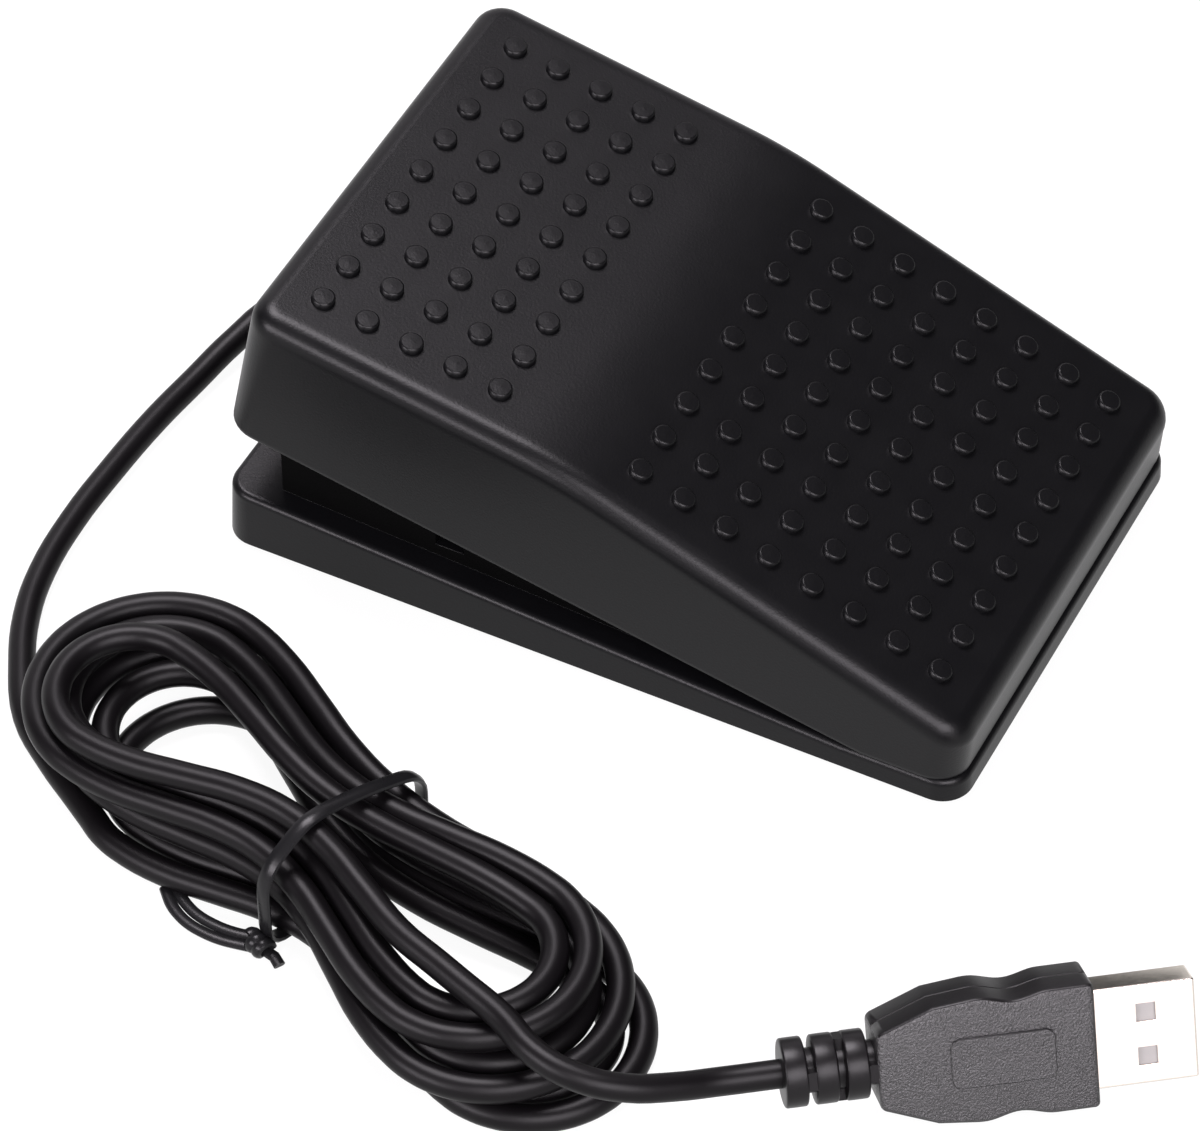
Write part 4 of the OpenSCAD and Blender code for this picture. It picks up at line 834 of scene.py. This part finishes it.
def grip_width(f):
    """Half the grip's width along it: straight shoulders, a finger scoop and a square front."""
    (f0, w0), (f1, w1) = next(pair for pair in zip(shoulders, shoulders[1:]) if f <= pair[1][0])
    half_w = w0 + (w1 - w0) * (f - f0) / (f1 - f0)
    if scoop_from < f < scoop_to:
        half_w -= scoop_depth * math.sin(math.pi * (f - scoop_from) / (scoop_to - scoop_from)) ** 2
    return half_w


bm = bmesh.new()
grip_steps, edge_radii, least_r, seam_w = 48, (0.6, 0.6, 1.65, 0.6), 0.15, 0.14
end_round = [(0, 0.5), (0.004, 0.25), (0.012, 0.08)]
stations = [*end_round, (0.022, 0)]
stations += [(0.02 + 0.96 * k / grip_steps, 0) for k in range(1, grip_steps + 1)]
stations += [(1 - f, inset) for f, inset in end_round[::-1]]
grip_rings = []
for f, inset in stations:
    half_w = grip_width(f) - inset
    places = rounded_block(half_w, grip_half_t - inset, [max(least_r, r - inset) for r in edge_radii])
    parting = [(half_w, -seam_w), (half_w - seam_w, 0), (half_w, seam_w)]
    half = len(places) // 2
    places = places[:half] + [(-a, -b) for a, b in parting] + places[half:] + parting
    grip_rings.append([Vector((relief_l + f * grip_l, a, b)) for a, b in places])
skin(bm, grip_rings)
panel_from, panel_to, panel_half_w, panel_h, panel_r, panel_edge = 0.33, 0.81, 3.0, 0.3, 1.1, 0.12
panel_half_l, panel_mid = grip_l * (panel_to - panel_from) / 2, grip_l * (panel_from + panel_to) / 2
panel_root, panel_top = grip_half_t - 0.4, grip_half_t + panel_h
for side in (-1, 1):
    panel_rings = []
    for inset, z in ((0, panel_root), (0, panel_top - panel_edge), (panel_edge, panel_top)):
        places = rounded_block(panel_half_l - inset, panel_half_w - inset, [panel_r - inset] * 4)
        panel_rings.append([Vector((relief_l + panel_mid + a, b, side * z)) for a, b in places])
    skin(bm, panel_rings)
bmesh.ops.recalc_face_normals(bm, faces=bm.faces)
bm.transform(to_metres @ plug_frame)
# Grained PVC: the light breaks up into fine specks on a grey-looking black. The grain of about 0.15 mm is
# drawn at 0.25 mm to show. Polished PVC: dark, with narrow highlights.
grip_pvc = moulded("grained_black_pvc", "#0c0b0c", "#121112", 0.38, 0.25, 0.2, mirror=0.62)
relief_pvc = moulded("polished_black_pvc", "#080708", "#0b0a0b", 0.36, 0.8, 0.01, mirror=0.16)
grip = finished(bm, "plug_overmould", grip_pvc, crease=40)
grip.data.materials.append(relief_pvc)
across_plug, narrow_side = plug_turn.to_3x3() @ Vector((0, 1, 0)), 0.6
for face in grip.data.polygons:
    if abs(face.normal.dot(across_plug)) > narrow_side:
        face.material_index = 1
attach(grip, "base")
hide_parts("plug_grip")

# Bend relief: the grip's slotted tail round the cord, moulded in one with it from the same PVC, but from
# a polished part of the mould. Three rings stand on a core, with two bridges between each pair.
relief_r, relief_core_r, relief_rings, relief_gap, core_shift = 4.0, 2.6, 3, 0.8, 0.4
ring_pitch = relief_l / relief_rings
ring_half_l = (ring_pitch - relief_gap) / 2
bridge_half_l, bridge_half_w, bridge_r, bridge_from, bridge_to = 1.0, 1.1, 0.3, 2.1, 3.75
bridge = rounded_block(bridge_half_l, bridge_half_w, [bridge_r] * 4, steps=2)
bm = bmesh.new()
core = around(relief_core_r, sides=24)
skin(bm, [[Vector((x, a, b)) for a, b in core] for x in (core_shift, relief_l + core_shift)])
for k in range(relief_rings):
    for half_turn in (0, math.pi):
        turn = Matrix.Rotation(math.pi / 2 * (k % 2) + half_turn, 3, "X")
        skin(bm, [[turn @ Vector(((k + 1) * ring_pitch + a, b, z)) for a, b in bridge]
                  for z in (bridge_from, bridge_to)])
bmesh.ops.recalc_face_normals(bm, faces=bm.faces)
bm.transform(to_metres @ plug_frame)
relief = finished(bm, "plug_bend_relief", relief_pvc, crease=40)

ring_sizes = {
    "Ring radius": relief_r * mm, "Half length": ring_half_l * mm, "Rim softness": 0.16,
    "Rings": relief_rings, "First ring": to_metres @ plug_frame @ Vector((ring_half_l, 0, 0)),
    "Ring step": plug_dir * ring_pitch * mm,
    "Ring turn": Vector((plug_turn.to_3x3() @ Matrix.Rotation(math.pi / 2, 3, "Y")).to_euler()),
    "Finish": relief_pvc}
tree, size = sized_tree("bend_relief_rings", ring_sizes)
ring = soft_disc(tree, size["Ring radius"], size["Half length"], size["Rim softness"], segments=32, rings=16)
soft = add_node(tree, "GeometryNodeSetShadeSmooth", inputs={"Geometry": ring})
turned = add_node(tree, "GeometryNodeTransform", inputs={
    "Geometry": soft.outputs["Geometry"], "Rotation": size["Ring turn"]})
line = add_node(tree, "GeometryNodeMeshLine", inputs={
    "Count": size["Rings"], "Start Location": size["First ring"], "Offset": size["Ring step"]})
placed = add_node(tree, "GeometryNodeInstanceOnPoints", inputs={
    "Points": line.outputs["Mesh"], "Instance": turned.outputs["Geometry"]})
joined = add_node(tree, "GeometryNodeJoinGeometry")
tree.links.new(placed.outputs["Instances"], joined.inputs["Geometry"])
tree.links.new(size["Geometry"], joined.inputs["Geometry"])
plain = add_node(tree, "GeometryNodeRealizeInstances", inputs={"Geometry": joined.outputs["Geometry"]})
coated = add_node(tree, "GeometryNodeSetMaterial", inputs={
    "Geometry": plain.outputs["Geometry"], "Material": size["Finish"]})
add_node(tree, "NodeGroupOutput", inputs={"Geometry": coated.outputs["Geometry"]})
grown(relief, tree, ring_sizes)
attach(relief, "base")
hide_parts("plug_grip")

# Plug shell: steel strip folded to a flat tube and nickel plated, with two square latch holes in each
# broad face. Inside it a pale nylon tongue carries four gilt contacts.
shell_w, shell_t, fold_round, close = 12, 4.5, 0.3, 0.01
bm = merged_copy("plug_shell")
bm.transform(plug_frame.inverted() @ to_metres.inverted())
corner_verts = {v for v in bm.verts
                if abs(v.co.y) > shell_w / 2 - close and abs(v.co.z) > shell_t / 2 - close}
folds = [e for e in bm.edges if corner_verts.issuperset(e.verts)]
bmesh.ops.bevel(bm, geom=folds, offset=fold_round, segments=4, profile=0.5, affect="EDGES")
bm.transform(to_metres @ plug_frame)
# Nickel plate on rolled strip: a warm, bright mirror, a little softened.
bright_nickel = plated("bright_nickel_plate", "#d6cec4", 0.13, 0.6)
shell = finished(bm, "nickel_plug_shell", bright_nickel, edge_mm=0.12)
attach(shell, "base")
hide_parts("plug_shell")
# Uncoloured nylon is milky; its grey is painted shade inside the shell. Gilt bronze is a warm yellow metal.
dress("plug_tongue", moulded("nylon_painted_shade", "#7a7876", "#81807e", 0.4, 0.4, 0.006))
dress("plug_contacts", plated("gilt_bronze", "#d9b25a", 0.25, 0.4))
